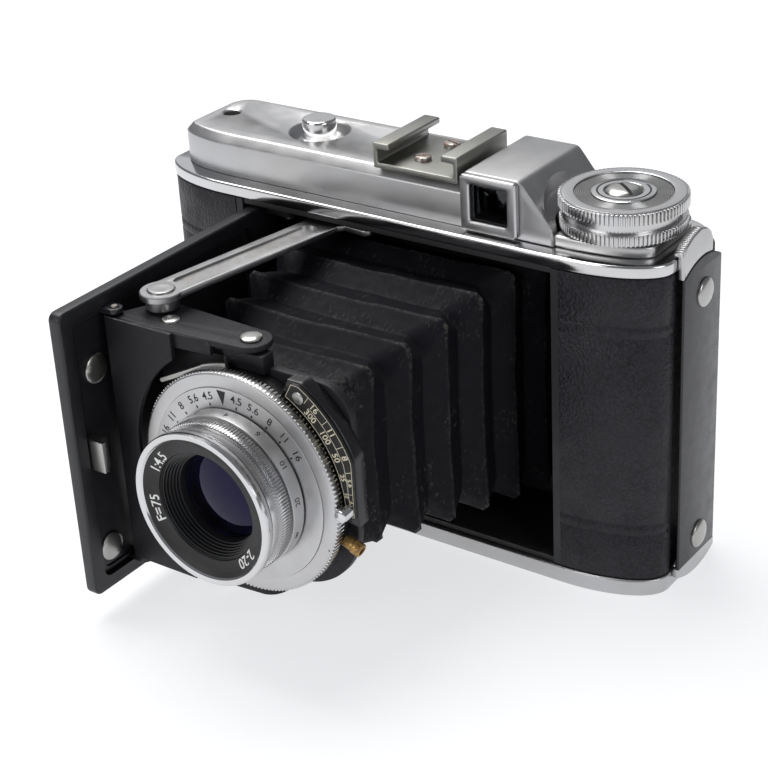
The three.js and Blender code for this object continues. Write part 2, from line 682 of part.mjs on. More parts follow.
// ================================================================ back cover
const backShell = (inner, outer) => {
  const half = (inset) => [
    V(HALF_W - inset, 10.3),
    ...arc(HALF_W - 6, DEPTH - 6, 6 - inset, 0, 90, 5),
  ];
  const left = (inset) => [...arc(-HALF_W + 6, DEPTH - 6, 6 - inset, 90, 168, 4)];
  return [...half(outer), ...left(outer), ...left(inner).reverse(), ...half(inner).reverse()];
};
const backZ = [BASE_T + 0.4, TRIM[0] - 0.5];
const WINDOW = [-12, MID_Z];
const coverBody = join(
  prism("z", backShell(1.9, 1.1), ...backZ),
  disc("z", 1.8, ...backZ, ...BACK_PIN, 24),
  prism("z", rect(-61.2, -60.4, 23.8, 27.2), ...backZ),
);
piece(
  "back_cover",
  paint,
  cut(
    coverBody,
    disc("z", 1.0, 0, 80, ...BACK_PIN, 16),
    disc("y", 4.6, 28, 34, ...WINDOW, 32),
  ),
);
piece(
  "back_leather",
  leather,
  cut(
    prism("z", backShell(1.0, 0.5), backZ[0] + 0.2, backZ[1] - 0.2),
    disc("y", 6.6, 30, 34, ...WINDOW, 32),
    disc("y", 5.6, 20, 34, ...WINDOW, 32),
    box(LATCH_X[0] - 2.2, 65, 9, 28, 0, 80),
  ),
);
piece(
  "red_window",
  redGlass,
  disc("y", 4.5, 30.2, 30.8, ...WINDOW, 32),
);
piece(
  "window_cover",
  chrome,
  prism("y", roundRect(WINDOW[0] - 5.4, WINDOW[0] + 5.4, MID_Z - 5.2, MID_Z + 5.2, 1.5), 31.6, 32.1),
);
const plateHalf = 29;
piece(
  "pressure_plate",
  paint,
  cut(
    prism("y", roundRect(-plateHalf, plateHalf, MID_Z - 31, MID_Z + 31, 1.5), 27.0, 28.0),
    disc("y", 4.6, 20, 34, ...WINDOW, 24),
  ),
);

// Latch: chrome strap that slides on the end of the back, under a black plate held by two rivets.
// Its upper end is a thick arched leaf for the finger, with a lip over the trim.
const crest = (y0, y1, z0, z1, rise, n = 8) => {
  const span = (k) => THREE.MathUtils.lerp(y0, y1, k / n);
  const bow = (k) => rise * (1 - (2 * (k / n) - 1) ** 2);
  const low = Array.from({ length: n + 1 }, (_, k) => V(span(k), z0 - bow(k)));
  const high = Array.from({ length: n + 1 }, (_, k) => V(span(n - k), z1 + bow(n - k)));
  return [...low, ...high];
};
const leafArch = [V(21.8, 76.9), V(20.0, 78.3), V(17.5, 79.0), V(14.2, 78.5), V(11.5, 77.3), V(10.0, 76.0)];
piece(
  "latch_strap",
  chrome,
  join(
    prism("x", crest(10.4, 26.6, 2.4, 71.8, 1.9), ...LATCH_X),
    prism("x", [V(10.4, 71.6), V(22.7, 71.6), V(22.7, 75.0), ...leafArch], LATCH_X[0], LEAF_X[1]),
    prism("x", [V(10.0, 75.3), V(22.6, 75.3), ...leafArch], ...LEAF_X),
  ),
);
piece("latch_plate", paint, prism("x", crest(10.7, 26.6, 3.6, 69.9, 1.6), LATCH_X[1] + 0.1, 63.8));
for (const [name, z] of [["upper", 64.7], ["lower", 8.8]]) {
  piece(`latch_rivet_${name}`, nickel, domed(63.9, 3.1, 19.4, z));
}

export default group;
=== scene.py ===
"""Blender looks for the folding camera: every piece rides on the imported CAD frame.

Drawn in millimetres with y = 0 on the front plane of the chrome trim, as the CAD source is, and
scaled to metres when a mesh is made. x is to the right, z is up, the lens looks along -y.
"""

import math

import bmesh
import bpy
from mathutils import Matrix, Vector, noise
from mathutils.geometry import tessellate_polygon


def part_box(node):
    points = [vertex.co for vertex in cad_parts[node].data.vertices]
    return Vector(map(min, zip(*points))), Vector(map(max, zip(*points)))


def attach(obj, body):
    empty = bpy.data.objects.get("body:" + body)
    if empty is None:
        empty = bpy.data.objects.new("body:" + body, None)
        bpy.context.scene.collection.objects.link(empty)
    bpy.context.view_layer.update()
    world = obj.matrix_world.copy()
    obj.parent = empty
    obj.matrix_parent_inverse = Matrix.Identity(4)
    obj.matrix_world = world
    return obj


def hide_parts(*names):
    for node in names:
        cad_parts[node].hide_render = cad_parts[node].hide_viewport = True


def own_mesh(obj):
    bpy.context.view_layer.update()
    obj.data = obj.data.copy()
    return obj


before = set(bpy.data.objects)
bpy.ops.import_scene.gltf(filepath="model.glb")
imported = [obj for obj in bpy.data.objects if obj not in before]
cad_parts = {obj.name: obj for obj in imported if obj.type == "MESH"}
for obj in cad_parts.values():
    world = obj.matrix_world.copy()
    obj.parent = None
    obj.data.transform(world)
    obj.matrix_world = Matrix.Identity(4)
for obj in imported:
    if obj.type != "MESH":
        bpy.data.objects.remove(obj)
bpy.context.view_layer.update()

MM = 0.001
HALF_DEPTH = 16.0  # the frame's origin is this far behind the trim's front plane
AXIS_R = 0.001  # radius of a turned profile's point on its axis


# ---- the frame in millimetres
class Span:
    """A CAD node's box in millimetres: x0..z1."""

    def __init__(self, node):
        low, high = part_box(node)
        self.x0, self.x1 = low.x / MM, high.x / MM
        self.y0, self.y1 = low.y / MM + HALF_DEPTH, high.y / MM + HALF_DEPTH
        self.z0, self.z1 = low.z / MM, high.z / MM


BASE = Span("base_plate")
TRIM = Span("top_trim")
KNOB = Span("winding_knob")
DOOR = Span("door_plate")
SHUTTER = Span("speed_ring")

HALF_W = BASE.x1
DEPTH = 2 * HALF_DEPTH
FLAT_W = 42.0  # half width of the flat front
NOSE = 9.0  # depth of the rounded ends
CORNER = 6.0  # radius of the rear corners
LENS_Z = (SHUTTER.z0 + SHUTTER.z1) / 2
KNOB_AXIS = ((KNOB.x0 + KNOB.x1) / 2, (KNOB.y0 + KNOB.y1) / 2)
KNOB_R = (KNOB.x1 - KNOB.x0) / 2
OPENING = (Span("left_leather").x1, Span("right_leather").x0)

# Upright axes seen from above, as (x, y).
TRIPOD = (22.0, 16.0)
BUTTON = (-27.6, 16.6)
CABLE = (-52.6, 17.1)
DOOR_PIN = (-28.5, 5.0)
STRUT_PIVOT, STRUT_END = (-16.2, 5.5), (-24.7, -41.3)
YOKE_PIN, BOARD_PIN = (-31.5, -48.0), (-0.5, -43.5)
BACK_PIN = (-60.1, 23.4)


# ---- outlines
def polar(r, degrees, cx=0.0, cy=0.0):
    a = math.radians(degrees)
    return cx + r * math.cos(a), cy + r * math.sin(a)


def on_dial(r, degrees):
    """The point (x, z) at that radius and angle round the lens axis."""
    return polar(r, degrees, 0, LENS_Z)


def arc(cx, cy, r, a0, a1, n):
    """Points on a circle from angle a0 to a1, in degrees, both ends included."""
    return [polar(r, a0 + (a1 - a0) * i / n, cx, cy) for i in range(n + 1)]


def circle(r, cx=0.0, cy=0.0, n=96):
    return arc(cx, cy, r, 0, 360, n)[:-1]


def spun(loop, degrees, cx=0.0, cy=0.0):
    """The outline turned about the origin and then moved to (cx, cy)."""
    c, s = polar(1, degrees)
    return [(cx + u * c - v * s, cy + u * s + v * c) for u, v in loop]


def rectangle(x0, x1, y0, y1, r=0.0, n=5):
    if not r:
        return [(x0, y0), (x1, y0), (x1, y1), (x0, y1)]
    return (
        arc(x1 - r, y1 - r, r, 0, 90, n)
        + arc(x0 + r, y1 - r, r, 90, 180, n)
        + arc(x0 + r, y0 + r, r, 180, 270, n)
        + arc(x1 - r, y0 + r, r, 270, 360, n)
    )


def bar(a, b, ra, rb=None, n=16):
    """A straight bar with a round end at each point."""
    rb = ra if rb is None else rb
    t = math.degrees(math.atan2(b[1] - a[1], b[0] - a[0]))
    return arc(*b, rb, t - 90, t + 90, n) + arc(*a, ra, t + 90, t + 270, n)


def band(r_in, r_out, a0, a1, n=40):
    """A sector of a ring round the lens axis."""
    return arc(0, LENS_Z, r_out, a0, a1, n) + arc(0, LENS_Z, r_in, a1, a0, n)


def toothed(r, depth, teeth, cx, cy):
    """A knurled edge: trapezoid teeth."""
    points = []
    for i in range(teeth):
        for part, q in ((0.08, r), (0.42, r), (0.58, r - depth), (0.92, r - depth)):
            a = 2 * math.pi * (i + part) / teeth
            points.append((cx + q * math.cos(a), cy + q * math.sin(a)))
    return points


def nose(inset, end, n=20):
    """From the flat front round the nose to the end face."""
    out = []
    for i in range(n + 1):
        c, s = polar(1, -90 + 90 * i / n)
        out.append((FLAT_W + (end - FLAT_W) * c, NOSE + (NOSE - inset) * s))
    return out


def plan(inset, back=None, corner=CORNER):
    """The body's outline seen from above."""
    end = HALF_W - inset
    back = DEPTH - inset if back is None else back
    half = nose(inset, end) + arc(end - corner, back - corner, corner, 0, 90, 8)
    return half + [(-x, y) for x, y in reversed(half)]


def offset(loop, d):
    """The closed outline moved inwards by d, mitred at its corners."""
    out = []
    count = len(loop)
    for i, (x, y) in enumerate(loop):
        ax, ay = x - loop[i - 1][0], y - loop[i - 1][1]
        bx, by = loop[(i + 1) % count][0] - x, loop[(i + 1) % count][1] - y
        la, lb = math.hypot(ax, ay) or 1, math.hypot(bx, by) or 1
        nx, ny = -(ay / la + by / lb), ax / la + bx / lb
        size = math.hypot(nx, ny) or 1
        nx, ny = nx / size, ny / size
        scale = d / max(0.4, -nx * ay / la + ny * ax / la)
        out.append((x + nx * scale, y + ny * scale))
    return out


def fillet(loop, r, n=4):
    """Rounds the corners of a closed outline."""
    out = []
    for i, p in enumerate(loop):
        p = Vector(p)
        a = Vector(loop[i - 1]) - p
        b = Vector(loop[(i + 1) % len(loop)]) - p
        reach = min(r, a.length * 0.45, b.length * 0.45)
        start, end = p + a.normalized() * reach, p + b.normalized() * reach
        for k in range(n + 1):
            t = k / n
            q = start * (1 - t) ** 2 + p * 2 * t * (1 - t) + end * t * t
            out.append((q.x, q.y))
    return out


# ---- solids as (vertices, faces)
def turn(axis, u, v, w):
    """A point of an outline (u, v) at distance w along the axis."""
    return {"x": (w, u, v), "y": (u, w, v), "z": (u, v, w)}[axis]


def joined(*parts):
    verts, faces = [], []
    for v, f in parts:
        base = len(verts)
        verts += v
        faces += [[i + base for i in face] for face in f]
    return verts, faces


def prism(axis, outline, low, high, holes=(), edge=0.2, steps=3):
    """An outline pushed along an axis, with rounded edges at both ends."""
    loops = [list(outline)] + [list(reversed(h)) for h in holes]
    levels = []
    for k in range(steps + 1 if edge else 1):
        a = math.radians(90 * k / steps) if edge else math.radians(90)
        levels.append((edge * (1 - math.sin(a)), edge * (1 - math.cos(a))))
    rings = [(inset, low + rise) for inset, rise in levels]
    rings += [(inset, high - rise) for inset, rise in reversed(levels)]
    verts, faces, ends = [], [], ([], [])
    for loop in loops:
        n = len(loop)
        first = len(verts)
        for inset, w in rings:
            verts += [turn(axis, *p, w) for p in (offset(loop, inset) if inset else loop)]
        for k in range(len(rings) - 1):
            for i in range(n):
                j = (i + 1) % n
                a, b = first + k * n, first + (k + 1) * n
                faces.append([a + i, a + j, b + j, b + i])
        last = first + (len(rings) - 1) * n
        ends[0].append(range(first, first + n))
        ends[1].append(range(last, last + n))
    flat = {"x": (1, 2), "y": (0, 2), "z": (0, 1)}[axis]
    for side, loops_of in enumerate(ends):
        index = [i for loop in loops_of for i in loop]
        shape = [[Vector((verts[i][flat[0]], verts[i][flat[1]], 0)) for i in loop] for loop in loops_of]
        for tri in tessellate_polygon(shape):
            a, b, c = (Vector((verts[index[t]][flat[0]], verts[index[t]][flat[1]])) for t in tri)
            area = (b - a).cross(c - a)
            if abs(area) < 1e-9:
                continue
            face = [index[t] for t in tri]
            faces.append(face if (area > 0) == (side == 1) else face[::-1])
    if axis == "y":
        faces = [face[::-1] for face in faces]
    return verts, faces


def loft(rings, wrapped=False):
    """A skin over rings of points that run anticlockwise round the way they advance."""
    n = len(rings[0])
    verts = [p for ring in rings for p in ring]
    faces = []
    for k in range(len(rings) if wrapped else len(rings) - 1):
        a, b = k * n, ((k + 1) % len(rings)) * n
        for i in range(n):
            j = (i + 1) % n
            faces.append([a + i, a + j, b + j, b + i])
    if not wrapped:
        faces.append(list(range(n))[::-1])
        faces.append([len(verts) - n + i for i in range(n)])
    return verts, faces


def lathe(axis, profile, a, b, n=96, closed=False):
    """A body of revolution about an axis through (a, b); the profile's points are (radius, height).

    A profile that isn't closed is brought to the axis by a flat disc at either end.
    """
    if not closed:
        first, last = profile[0], profile[-1]
        profile = [(0, first[1])] * (first[0] > 0) + profile + [(0, last[1])] * (last[0] > 0)
    rings = []
    for r, h in profile:
        rings.append([turn(axis, *p, h) for p in circle(max(r, AXIS_R), a, b, n)])
    verts, faces = loft(rings, wrapped=closed)
    if axis == "y":
        faces = [f[::-1] for f in faces]
    return verts, faces


# ---- objects
def add(name, data):
    """A new object in the scene."""
    obj = bpy.data.objects.new(name, data)
    bpy.context.scene.collection.objects.link(obj)
    return obj


def weld(mesh, distance, flatten=False):
    """Joins coinciding points, then merges coplanar faces or turns all faces outwards."""
    work = bmesh.new()
    work.from_mesh(mesh)
    bmesh.ops.remove_doubles(work, verts=work.verts, dist=distance)
    if flatten:
        one_degree = math.radians(1)
        bmesh.ops.dissolve_limit(work, angle_limit=one_degree, verts=work.verts, edges=work.edges)
    else:
        bmesh.ops.recalc_face_normals(work, faces=work.faces)
    work.to_mesh(mesh)
    work.free()


def evaluated(obj):
    """The mesh of an object with its modifiers applied; the object is taken away."""
    graph = bpy.context.evaluated_depsgraph_get()
    mesh = bpy.data.meshes.new_from_object(obj.evaluated_get(graph))
    bpy.data.objects.remove(obj)
    return mesh


def listed(mesh):
    """A mesh as (vertices, faces)."""
    return [tuple(v.co) for v in mesh.vertices], [list(p.vertices) for p in mesh.polygons]


def make(name, body, geometry, material, replaces=(), angle=32):
    """Turns (vertices, faces) into a shaded object that rides on a body."""
    verts, faces = geometry
    mesh = bpy.data.meshes.new(name)
    mesh.from_pydata([(x * MM, (y - HALF_DEPTH) * MM, z * MM) for x, y, z in verts], [], faces)
    return register(name, body, mesh, material, replaces, angle)


def register(name, body, mesh, material, replaces=(), angle=32):
    """Adds a finished mesh with its material."""
    weld(mesh, 1e-7)
    mesh.polygons.foreach_set("use_smooth", [True] * len(mesh.polygons))
    mesh.set_sharp_from_angle(angle=math.radians(angle))
    obj = add(name, mesh)
    mesh.materials.append(material)
    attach(obj, body)
    if replaces:
        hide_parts(*replaces)
    return obj


def carve(solid, *tools):
    """Cuts (vertices, faces) solids out of another, one after the other."""
    for tool in tools:
        parts = []
        for verts, faces in (solid, tool):
            mesh = bpy.data.meshes.new("operand")
            mesh.from_pydata(verts, [], faces)
            weld(mesh, 1e-5)
            parts.append(add("operand", mesh))
        modifier = parts[0].modifiers.new("cut", "BOOLEAN")
        modifier.operation = "DIFFERENCE"
        modifier.solver = "EXACT"
        modifier.object = parts[1]
        solid = listed(evaluated(parts[0]))
        bpy.data.objects.remove(parts[1])
    return solid


def refined(node, material, width):
    """A CAD node of the body with its edges rounded, in place of the node."""
    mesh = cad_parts[node].data.copy()
    mesh.materials.clear()
    weld(mesh, 2e-6, flatten=True)
    obj = add("temporary", mesh)
    bevel = obj.modifiers.new("bevel", "BEVEL")
    bevel.width = width * MM
    bevel.segments = 2
    bevel.limit_method = "ANGLE"
    bevel.angle_limit = math.radians(40)
    register(node + "_finish", "body", evaluated(obj), material, [node], angle=50)


def letters(text, size, weight=0.0):
    """Some characters as a flat solid in the xy plane, centred on the origin, in millimetres."""
    curve = bpy.data.curves.new("letters", "FONT")
    curve.body = text
    curve.size = size
    curve.align_x = curve.align_y = "CENTER"
    curve.extrude = 0.03
    curve.offset = weight
    curve.resolution_u = 3
    return listed(evaluated(add("letters", curve)))


def dial(text, size, radius, degrees, y, weight):
    """Characters on a face turned to the front, upright along the radius at that angle."""
    verts, faces = letters(text, size, weight)
    c, s = polar(1, degrees)
    x, z = on_dial(radius, degrees)
    return [(x + u * s + v * c, y - w, z - u * c + v * s) for u, v, w in verts], faces


def bent(text, size, degrees, radius, place, weight=0.0):
    """Characters bent round the lens axis; place(v, w) gives the radius and y of a point.

    They run anticlockwise seen along y, or clockwise if the radius of their curve is negative.
    """
    verts, faces = letters(text, size, weight)
    out = []
    for u, v, w in verts:
        a = math.radians(degrees) + u / radius
        r, y = place(v, w)
        out.append((r * math.cos(a), y, LENS_Z + r * math.sin(a)))
    return out, faces


def tick(r0, r1, degrees, y, width):
    """A short radial line on a face turned to the front."""
    corners = spun(rectangle(r0, r1, -width / 2, width / 2), degrees, 0, LENS_Z)
    return prism("y", corners, y - 0.03, y + 0.03, edge=0)


# ---- materials
class Finish:
    """A procedural material: a shader and the textures that drive it, in object space."""

    def __init__(self, name, color, metallic=0.0, roughness=0.5, **sockets):
        self.mat = bpy.data.materials.new(name)
        self.mat.use_nodes = True
        self.mat.diffuse_color = (*color, 1)
        self.tree = self.mat.node_tree
        self.shader = self.tree.nodes["Principled BSDF"]
        self.shader.inputs["Base Color"].default_value = (*color, 1)
        self.shader.inputs["Metallic"].default_value = metallic
        self.shader.inputs["Roughness"].default_value = roughness
        for key, value in sockets.items():
            self.shader.inputs[key.replace("_", " ")].default_value = value
        self.place = self.node("TexCoord", "Object")
        self.normal = None

    def node(self, kind, output, inputs=None, **settings):
        """One output of a new node, whose inputs are sockets of other nodes or constants."""
        made = self.tree.nodes.new("ShaderNode" + kind)
        for key, value in settings.items():
            setattr(made, key, value)
        for key, value in (inputs or {}).items():
            self.feed(made.inputs[key], value)
        return made.outputs[output]

    def feed(self, socket, value):
        if isinstance(value, bpy.types.NodeSocket):
            self.tree.links.new(value, socket)
        else:
            socket.default_value = value

    def stretched(self, x, y, z):
        return self.node("Mapping", "Vector", {"Vector": self.place, "Scale": (x, y, z)})

    def noise(self, size, detail=3.0, rough=0.55, place=None, warp=0.0):
        """Cloudy noise whose features are about size millimetres across."""
        return self.node("TexNoise", "Fac", {
            "Vector": place or self.place, "Scale": 1 / (size * MM), "Detail": detail,
            "Roughness": rough, "Distortion": warp})

    def cells(self, size, place):
        """Soft-edged cells about size millimetres across."""
        inputs = {"Vector": place, "Scale": 1 / (size * MM)}
        return self.node("TexVoronoi", "Distance", inputs, feature="SMOOTH_F1")

    def ramp(self, source, low, high, to_low=0.0, to_high=1.0):
        inputs = {"Value": source, "From Min": low, "From Max": high, "To Min": to_low, "To Max": to_high}
        return self.node("MapRange", "Result", inputs, interpolation_type="SMOOTHSTEP")

    def calc(self, operation, a, b):
        return self.node("Math", 0, {0: a, 1: b}, operation=operation)

    def times(self, a, b):
        return self.calc("MULTIPLY", a, b)

    def blend(self, mask, a, b):
        """Colour a where the mask is 0 and b where it is 1."""
        a, b = ((*color, 1) if isinstance(color, tuple) else color for color in (a, b))
        return self.node("Mix", 2, {0: mask, 6: a, 7: b}, data_type="RGBA")

    def edges(self, low, high):
        """From 0 to 1 between two values of the mesh's curvature, which is high on outer edges."""
        return self.ramp(self.node("NewGeometry", "Pointiness"), low, high)

    def color(self, socket):
        self.feed(self.shader.inputs["Base Color"], socket)

    def rough(self, socket):
        self.feed(self.shader.inputs["Roughness"], socket)

    def metal(self, socket):
        self.feed(self.shader.inputs["Metallic"], socket)

    def bump(self, height, depth):
        """Adds relief; depth is in millimetres."""
        inputs = {"Distance": depth * MM, "Height": height}
        if self.normal:
            inputs["Normal"] = self.normal
        self.normal = self.node("Bump", "Normal", inputs)
        self.feed(self.shader.inputs["Normal"], self.normal)


GRIME = (0.13, 0.09, 0.045)
BARE = (0.30, 0.29, 0.27)  # metal where the paint has gone


def chrome(name, bright, shine, dirt, scratch=0.002, grain=(0.08, 0.5, 1.0), warm=1.0):
    """Plated metal with fine scratches, cloudy wear and dirt in its corners."""
    f = Finish(name, (bright, bright, bright * 0.985), 1.0, shine)
    cloud = f.noise(14, 4)
    spots = f.noise(0.7, 3, 0.6)
    grime = f.times(f.ramp(spots, 0.70, 0.78), f.ramp(f.noise(9, 2), 0.5, 0.62))
    corner = f.times(f.edges(0.47, 0.40), f.ramp(f.noise(2, 3), 0.4, 0.6))
    mask = f.times(f.calc("MAXIMUM", grime, corner), dirt)
    clean, dull = bright * 1.02 * warm, bright * 0.91 * warm ** 2
    base = f.blend(f.ramp(cloud, 0.3, 0.75), (bright, bright, clean), (bright * 0.93, bright * 0.92, dull))
    f.color(f.blend(mask, base, GRIME))
    wear = f.ramp(f.noise(6, 5, 0.6), 0.35, 0.8, shine, shine + 0.10)
    f.rough(f.calc("ADD", wear, f.times(mask, 0.3)))
    f.metal(f.calc("SUBTRACT", 1.0, f.times(mask, 0.7)))
    f.bump(f.noise(0.5, 2, 0.6, f.stretched(*grain)), scratch)
    return f.mat


def painted(name, color, shine, wear=1.0, grain=0.01, bare=BARE):
    """Black paint, duller where handled and rubbed through to metal on its edges."""
    f = Finish(name, color, 0.0, shine)
    chips = f.ramp(f.noise(1.1, 4, 0.7), 0.5, 0.6)
    rubbed = f.times(f.times(f.edges(0.58, 0.68), chips), wear)
    dust = f.ramp(f.noise(7, 5, 0.65), 0.5, 0.9)
    lighter = tuple(c * 1.3 + 0.001 for c in color)
    f.color(f.blend(rubbed, f.blend(dust, color, lighter), bare))
    f.metal(f.times(rubbed, 0.85))
    f.rough(f.ramp(f.noise(3, 4), 0.3, 0.75, shine, shine + 0.12))
    f.bump(f.noise(0.35, 2), grain)
    return f.mat


def crackle(name):
    """Wrinkled black paint."""
    f = Finish(name, (0.012, 0.0115, 0.015), 0.0, 0.5, Specular_IOR_Level=0.3)
    folds = f.noise(0.32, 3, 0.6, warp=1.2)
    rubbed = f.times(f.edges(0.60, 0.70), f.ramp(f.noise(1.4, 4), 0.55, 0.65))
    paint = f.blend(folds, (0.005, 0.0047, 0.0068), (0.0145, 0.0138, 0.018))
    f.color(f.blend(rubbed, paint, (0.22, 0.21, 0.19)))
    f.metal(f.times(rubbed, 0.8))
    f.rough(f.ramp(folds, 0.3, 0.7, 0.62, 0.36))
    f.bump(folds, 0.05)
    return f.mat


def leather(name):
    """Pebble-grained leatherette, shinier where handled."""
    f = Finish(name, (0.007, 0.0065, 0.010), 0.0, 0.5, Specular_IOR_Level=0.3)
    squashed = f.stretched(1.0, 1.0, 0.8)
    fine, coarse = f.cells(0.5, squashed), f.cells(0.95, squashed)
    grain = f.calc("ADD", f.times(fine, 0.75), f.times(coarse, 0.25))
    rubbed = f.times(f.ramp(f.noise(11, 4), 0.42, 0.72), 0.6)
    tone = f.blend(f.ramp(grain, 0.15, 0.6), (0.016, 0.0148, 0.022), (0.0042, 0.0038, 0.006))
    f.color(f.blend(rubbed, tone, (0.0105, 0.010, 0.0145)))
    f.rough(f.ramp(f.noise(6, 4), 0.35, 0.7, 0.40, 0.58))
    f.bump(f.calc("SUBTRACT", 1.0, grain), 0.2)
    f.bump(f.noise(0.15, 2), 0.015)
    return f.mat


def cloth(name):
    """Bellows: black leather-cloth, greyed where its folds are rubbed, with painted shade darkening the
    valleys between the folds.
    """
    f = Finish(name, (0.005, 0.0048, 0.007), 0.0, 0.6, Specular_IOR_Level=0.12)
    rubbed = f.times(f.edges(0.515, 0.575), f.ramp(f.noise(0.9, 5, 0.7), 0.42, 0.62))
    scuffs = f.ramp(f.noise(0.5, 4, 0.6, f.stretched(1.5, 0.14, 0.5)), 0.57, 0.70)
    streak = f.times(scuffs, f.ramp(f.noise(9, 2), 0.45, 0.6))
    dust = f.ramp(f.noise(4, 5, 0.7), 0.45, 0.8)
    tone = f.blend(dust, (0.0050, 0.0046, 0.0074), (0.0066, 0.0062, 0.0092))
    # painted shade: where the curvature is low, in the valleys between folds, the colour goes to near black
    tone = f.blend(f.edges(0.49, 0.43), tone, (0.0015, 0.0015, 0.002))
    worn = f.calc("MAXIMUM", f.times(rubbed, 0.5), f.times(streak, 0.42))
    f.color(f.blend(worn, tone, (0.10, 0.095, 0.085)))
    f.rough(f.ramp(f.noise(2, 3), 0.3, 0.7, 0.56, 0.68))
    f.bump(f.noise(1.8, 3), 0.02)
    f.bump(f.noise(0.22, 3, 0.6), 0.025)
    return f.mat


def glass(name, tint, ior, smooth, coating):
    """Coated glass with a trace of dust."""
    f = Finish(name, tint, 0.0, smooth, IOR=ior, Transmission_Weight=1.0, Specular_Tint=(*coating, 1))
    f.rough(f.ramp(f.noise(0.3, 4, 0.7), 0.68, 0.8, smooth, 0.12))
    return f.mat


def plain(name, color, roughness, variation, size, bump):
    """A painted or inked surface with slight blotches and grain."""
    f = Finish(name, color, 0.0, roughness)
    shade = tuple(c * (1 - variation) for c in color)
    f.color(f.blend(f.ramp(f.noise(size, 4, 0.65), 0.35, 0.7), color, shade))
    f.rough(f.ramp(f.noise(size * 2, 4), 0.3, 0.7, roughness, min(1.0, roughness + 0.15)))
    f.bump(f.noise(0.25, 2), bump)
    return f.mat


def rusty(name, metal_color, amount):
    """Bare metal with brown rust or tarnish coming through."""
    f = Finish(name, metal_color, 1.0, 0.35)
    patch = f.times(f.ramp(f.noise(0.8, 5, 0.7), 0.42, 0.6), amount)
    f.color(f.blend(patch, metal_color, (0.16, 0.065, 0.03)))
    f.metal(f.calc("SUBTRACT", 1.0, patch))
    f.rough(f.calc("ADD", 0.32, f.times(patch, 0.5)))
    f.bump(f.noise(0.3, 4, 0.7), 0.03)
    return f.mat


SATIN = chrome("satin_chrome_finish", 0.51, 0.31, 0.7, 0.003)
BRUSHED = chrome("brushed_chrome_finish", 0.42, 0.38, 0.9, 0.004, (0.05, 0.3, 1.4))
CHROME = chrome("polished_chrome_finish", 0.62, 0.12, 0.5, 0.001)
RING = chrome("ring_chrome_finish", 0.58, 0.20, 0.3, 0.0004)
DIAL = chrome("dial_chrome_finish", 0.55, 0.36, 0.3, 0.0008)
STRUT = chrome("strut_chrome_finish", 0.44, 0.30, 0.3, 0.0008, (1.2, 0.06, 1.0))
TARNISH = chrome("tarnished_finish", 0.40, 0.28, 0.8, warm=0.985)
SHOE = chrome("shoe_nickel_finish", 0.31, 0.36, 1.0, 0.005, warm=0.945)
LENS_CHROME = chrome("lens_chrome_finish", 0.62, 0.12, 0.08, 0.0003)
NICKEL = chrome("nickel_finish", 0.42, 0.28, 1.0, warm=0.96)
STEEL = rusty("screw_steel_finish", (0.45, 0.44, 0.42), 0.8)
PIN_STEEL = rusty("pin_steel_finish", (0.4, 0.39, 0.37), 0.35)
PAINT = painted("black_paint_finish", (0.008, 0.008, 0.010), 0.34, 0.6)
GLOSS = painted("gloss_paint_finish", (0.006, 0.006, 0.007), 0.2, 0.35, 0.003)
DULL = painted("dull_paint_finish", (0.009, 0.009, 0.010), 0.55, 0.5, 0.02, (0.12, 0.10, 0.08))
CRACKLE = crackle("black_crackle_finish")
LEATHER = leather("leatherette_finish")
CLOTH = cloth("bellows_cloth_finish")
SCALE = plain("scale_black_finish", (0.004, 0.004, 0.005), 0.42, 0.3, 3.0, 0.004)
EDGE_PAINT = plain("edge_paint_finish", (0.006, 0.006, 0.009), 0.45, 0.3, 2.0, 0.006)
LATCH_PAINT = painted("latch_paint_finish", (0.009, 0.009, 0.012), 0.24, 0.3, 0.003)
CREAM = plain("cream_ink_finish", (0.72, 0.66, 0.50), 0.5, 0.25, 0.8, 0.01)
WHITE_INK = plain("white_ink_finish", (0.78, 0.78, 0.76), 0.45, 0.2, 0.8, 0.01)
INK = plain("black_ink_finish", (0.010, 0.010, 0.011), 0.45, 0.3, 0.8, 0.01)
BRASS = rusty("brass_finish", (0.42, 0.27, 0.09), 0.6)
GLASS = glass("coated_glass_finish", (0.035, 0.04, 0.12), 1.46, 0.015, (0.4, 0.35, 0.8))
FINDER_GLASS = glass("finder_glass_finish", (0.30, 0.31, 0.33), 1.5, 0.02, (0.9, 0.95, 1.0))
RED_GLASS = glass("red_glass_finish", (0.7, 0.02, 0.02), 1.5, 0.05, (1.0, 0.8, 0.8))
WOOD = plain("painted_wood_finish", (0.30, 0.055, 0.04), 0.45, 0.3, 3.0, 0.02)
# near-black matt: the finder tunnel's lining, and painted shade at the bottom of the button's dish and of the
# cable hole
LINING_AND_SHADE = plain("lining_and_painted_shade_finish", (0.003, 0.003, 0.004), 0.85, 0.3, 2.0, 0.03)

# ---- base, trim, housing
base = prism("z", plan(0), BASE.z0, BASE.z1, [circle(7.1, *TRIPOD, 64)], edge=0.45)
make("base_plate_finish", "body", base, SATIN, ["base_plate"])
threads = [(3.0 + 0.28 * (k % 2), 3.8 - 0.32 * k) for k in range(1, 11)]
socket = [(3.0, 3.8)] + threads + [(3.0, 0.3), (3.25, 0.0), (6.7, 0.0), (6.95, 0.25), (6.95, 3.8)]
make("tripod_bush", "body", lathe("z", socket, *TRIPOD, 64, closed=True), PIN_STEEL, ["tripod_socket"])
trim = prism("z", plan(0, 29.4, 8.0), TRIM.z0, TRIM.z1, edge=0.5)
make("top_trim_finish", "body", trim, CHROME, ["top_trim"])

HOUSE_INSET = 3.9  # from the trim's edge to the top housing's wall
HOUSE_Z = 75.1  # where the housing stands on the trim


def house_plan(inset):
    """The housing's outline seen from above; its right end is hidden in the finder hump."""
    end, back = HALF_W - inset, DEPTH - inset
    left = [(-x, y) for x, y in nose(inset, end) + arc(end - 4.5, back - 4.5, 4.5, 0, 90, 8)]
    return ([(20.0, inset)] + left + [(20.0, back)])[::-1]


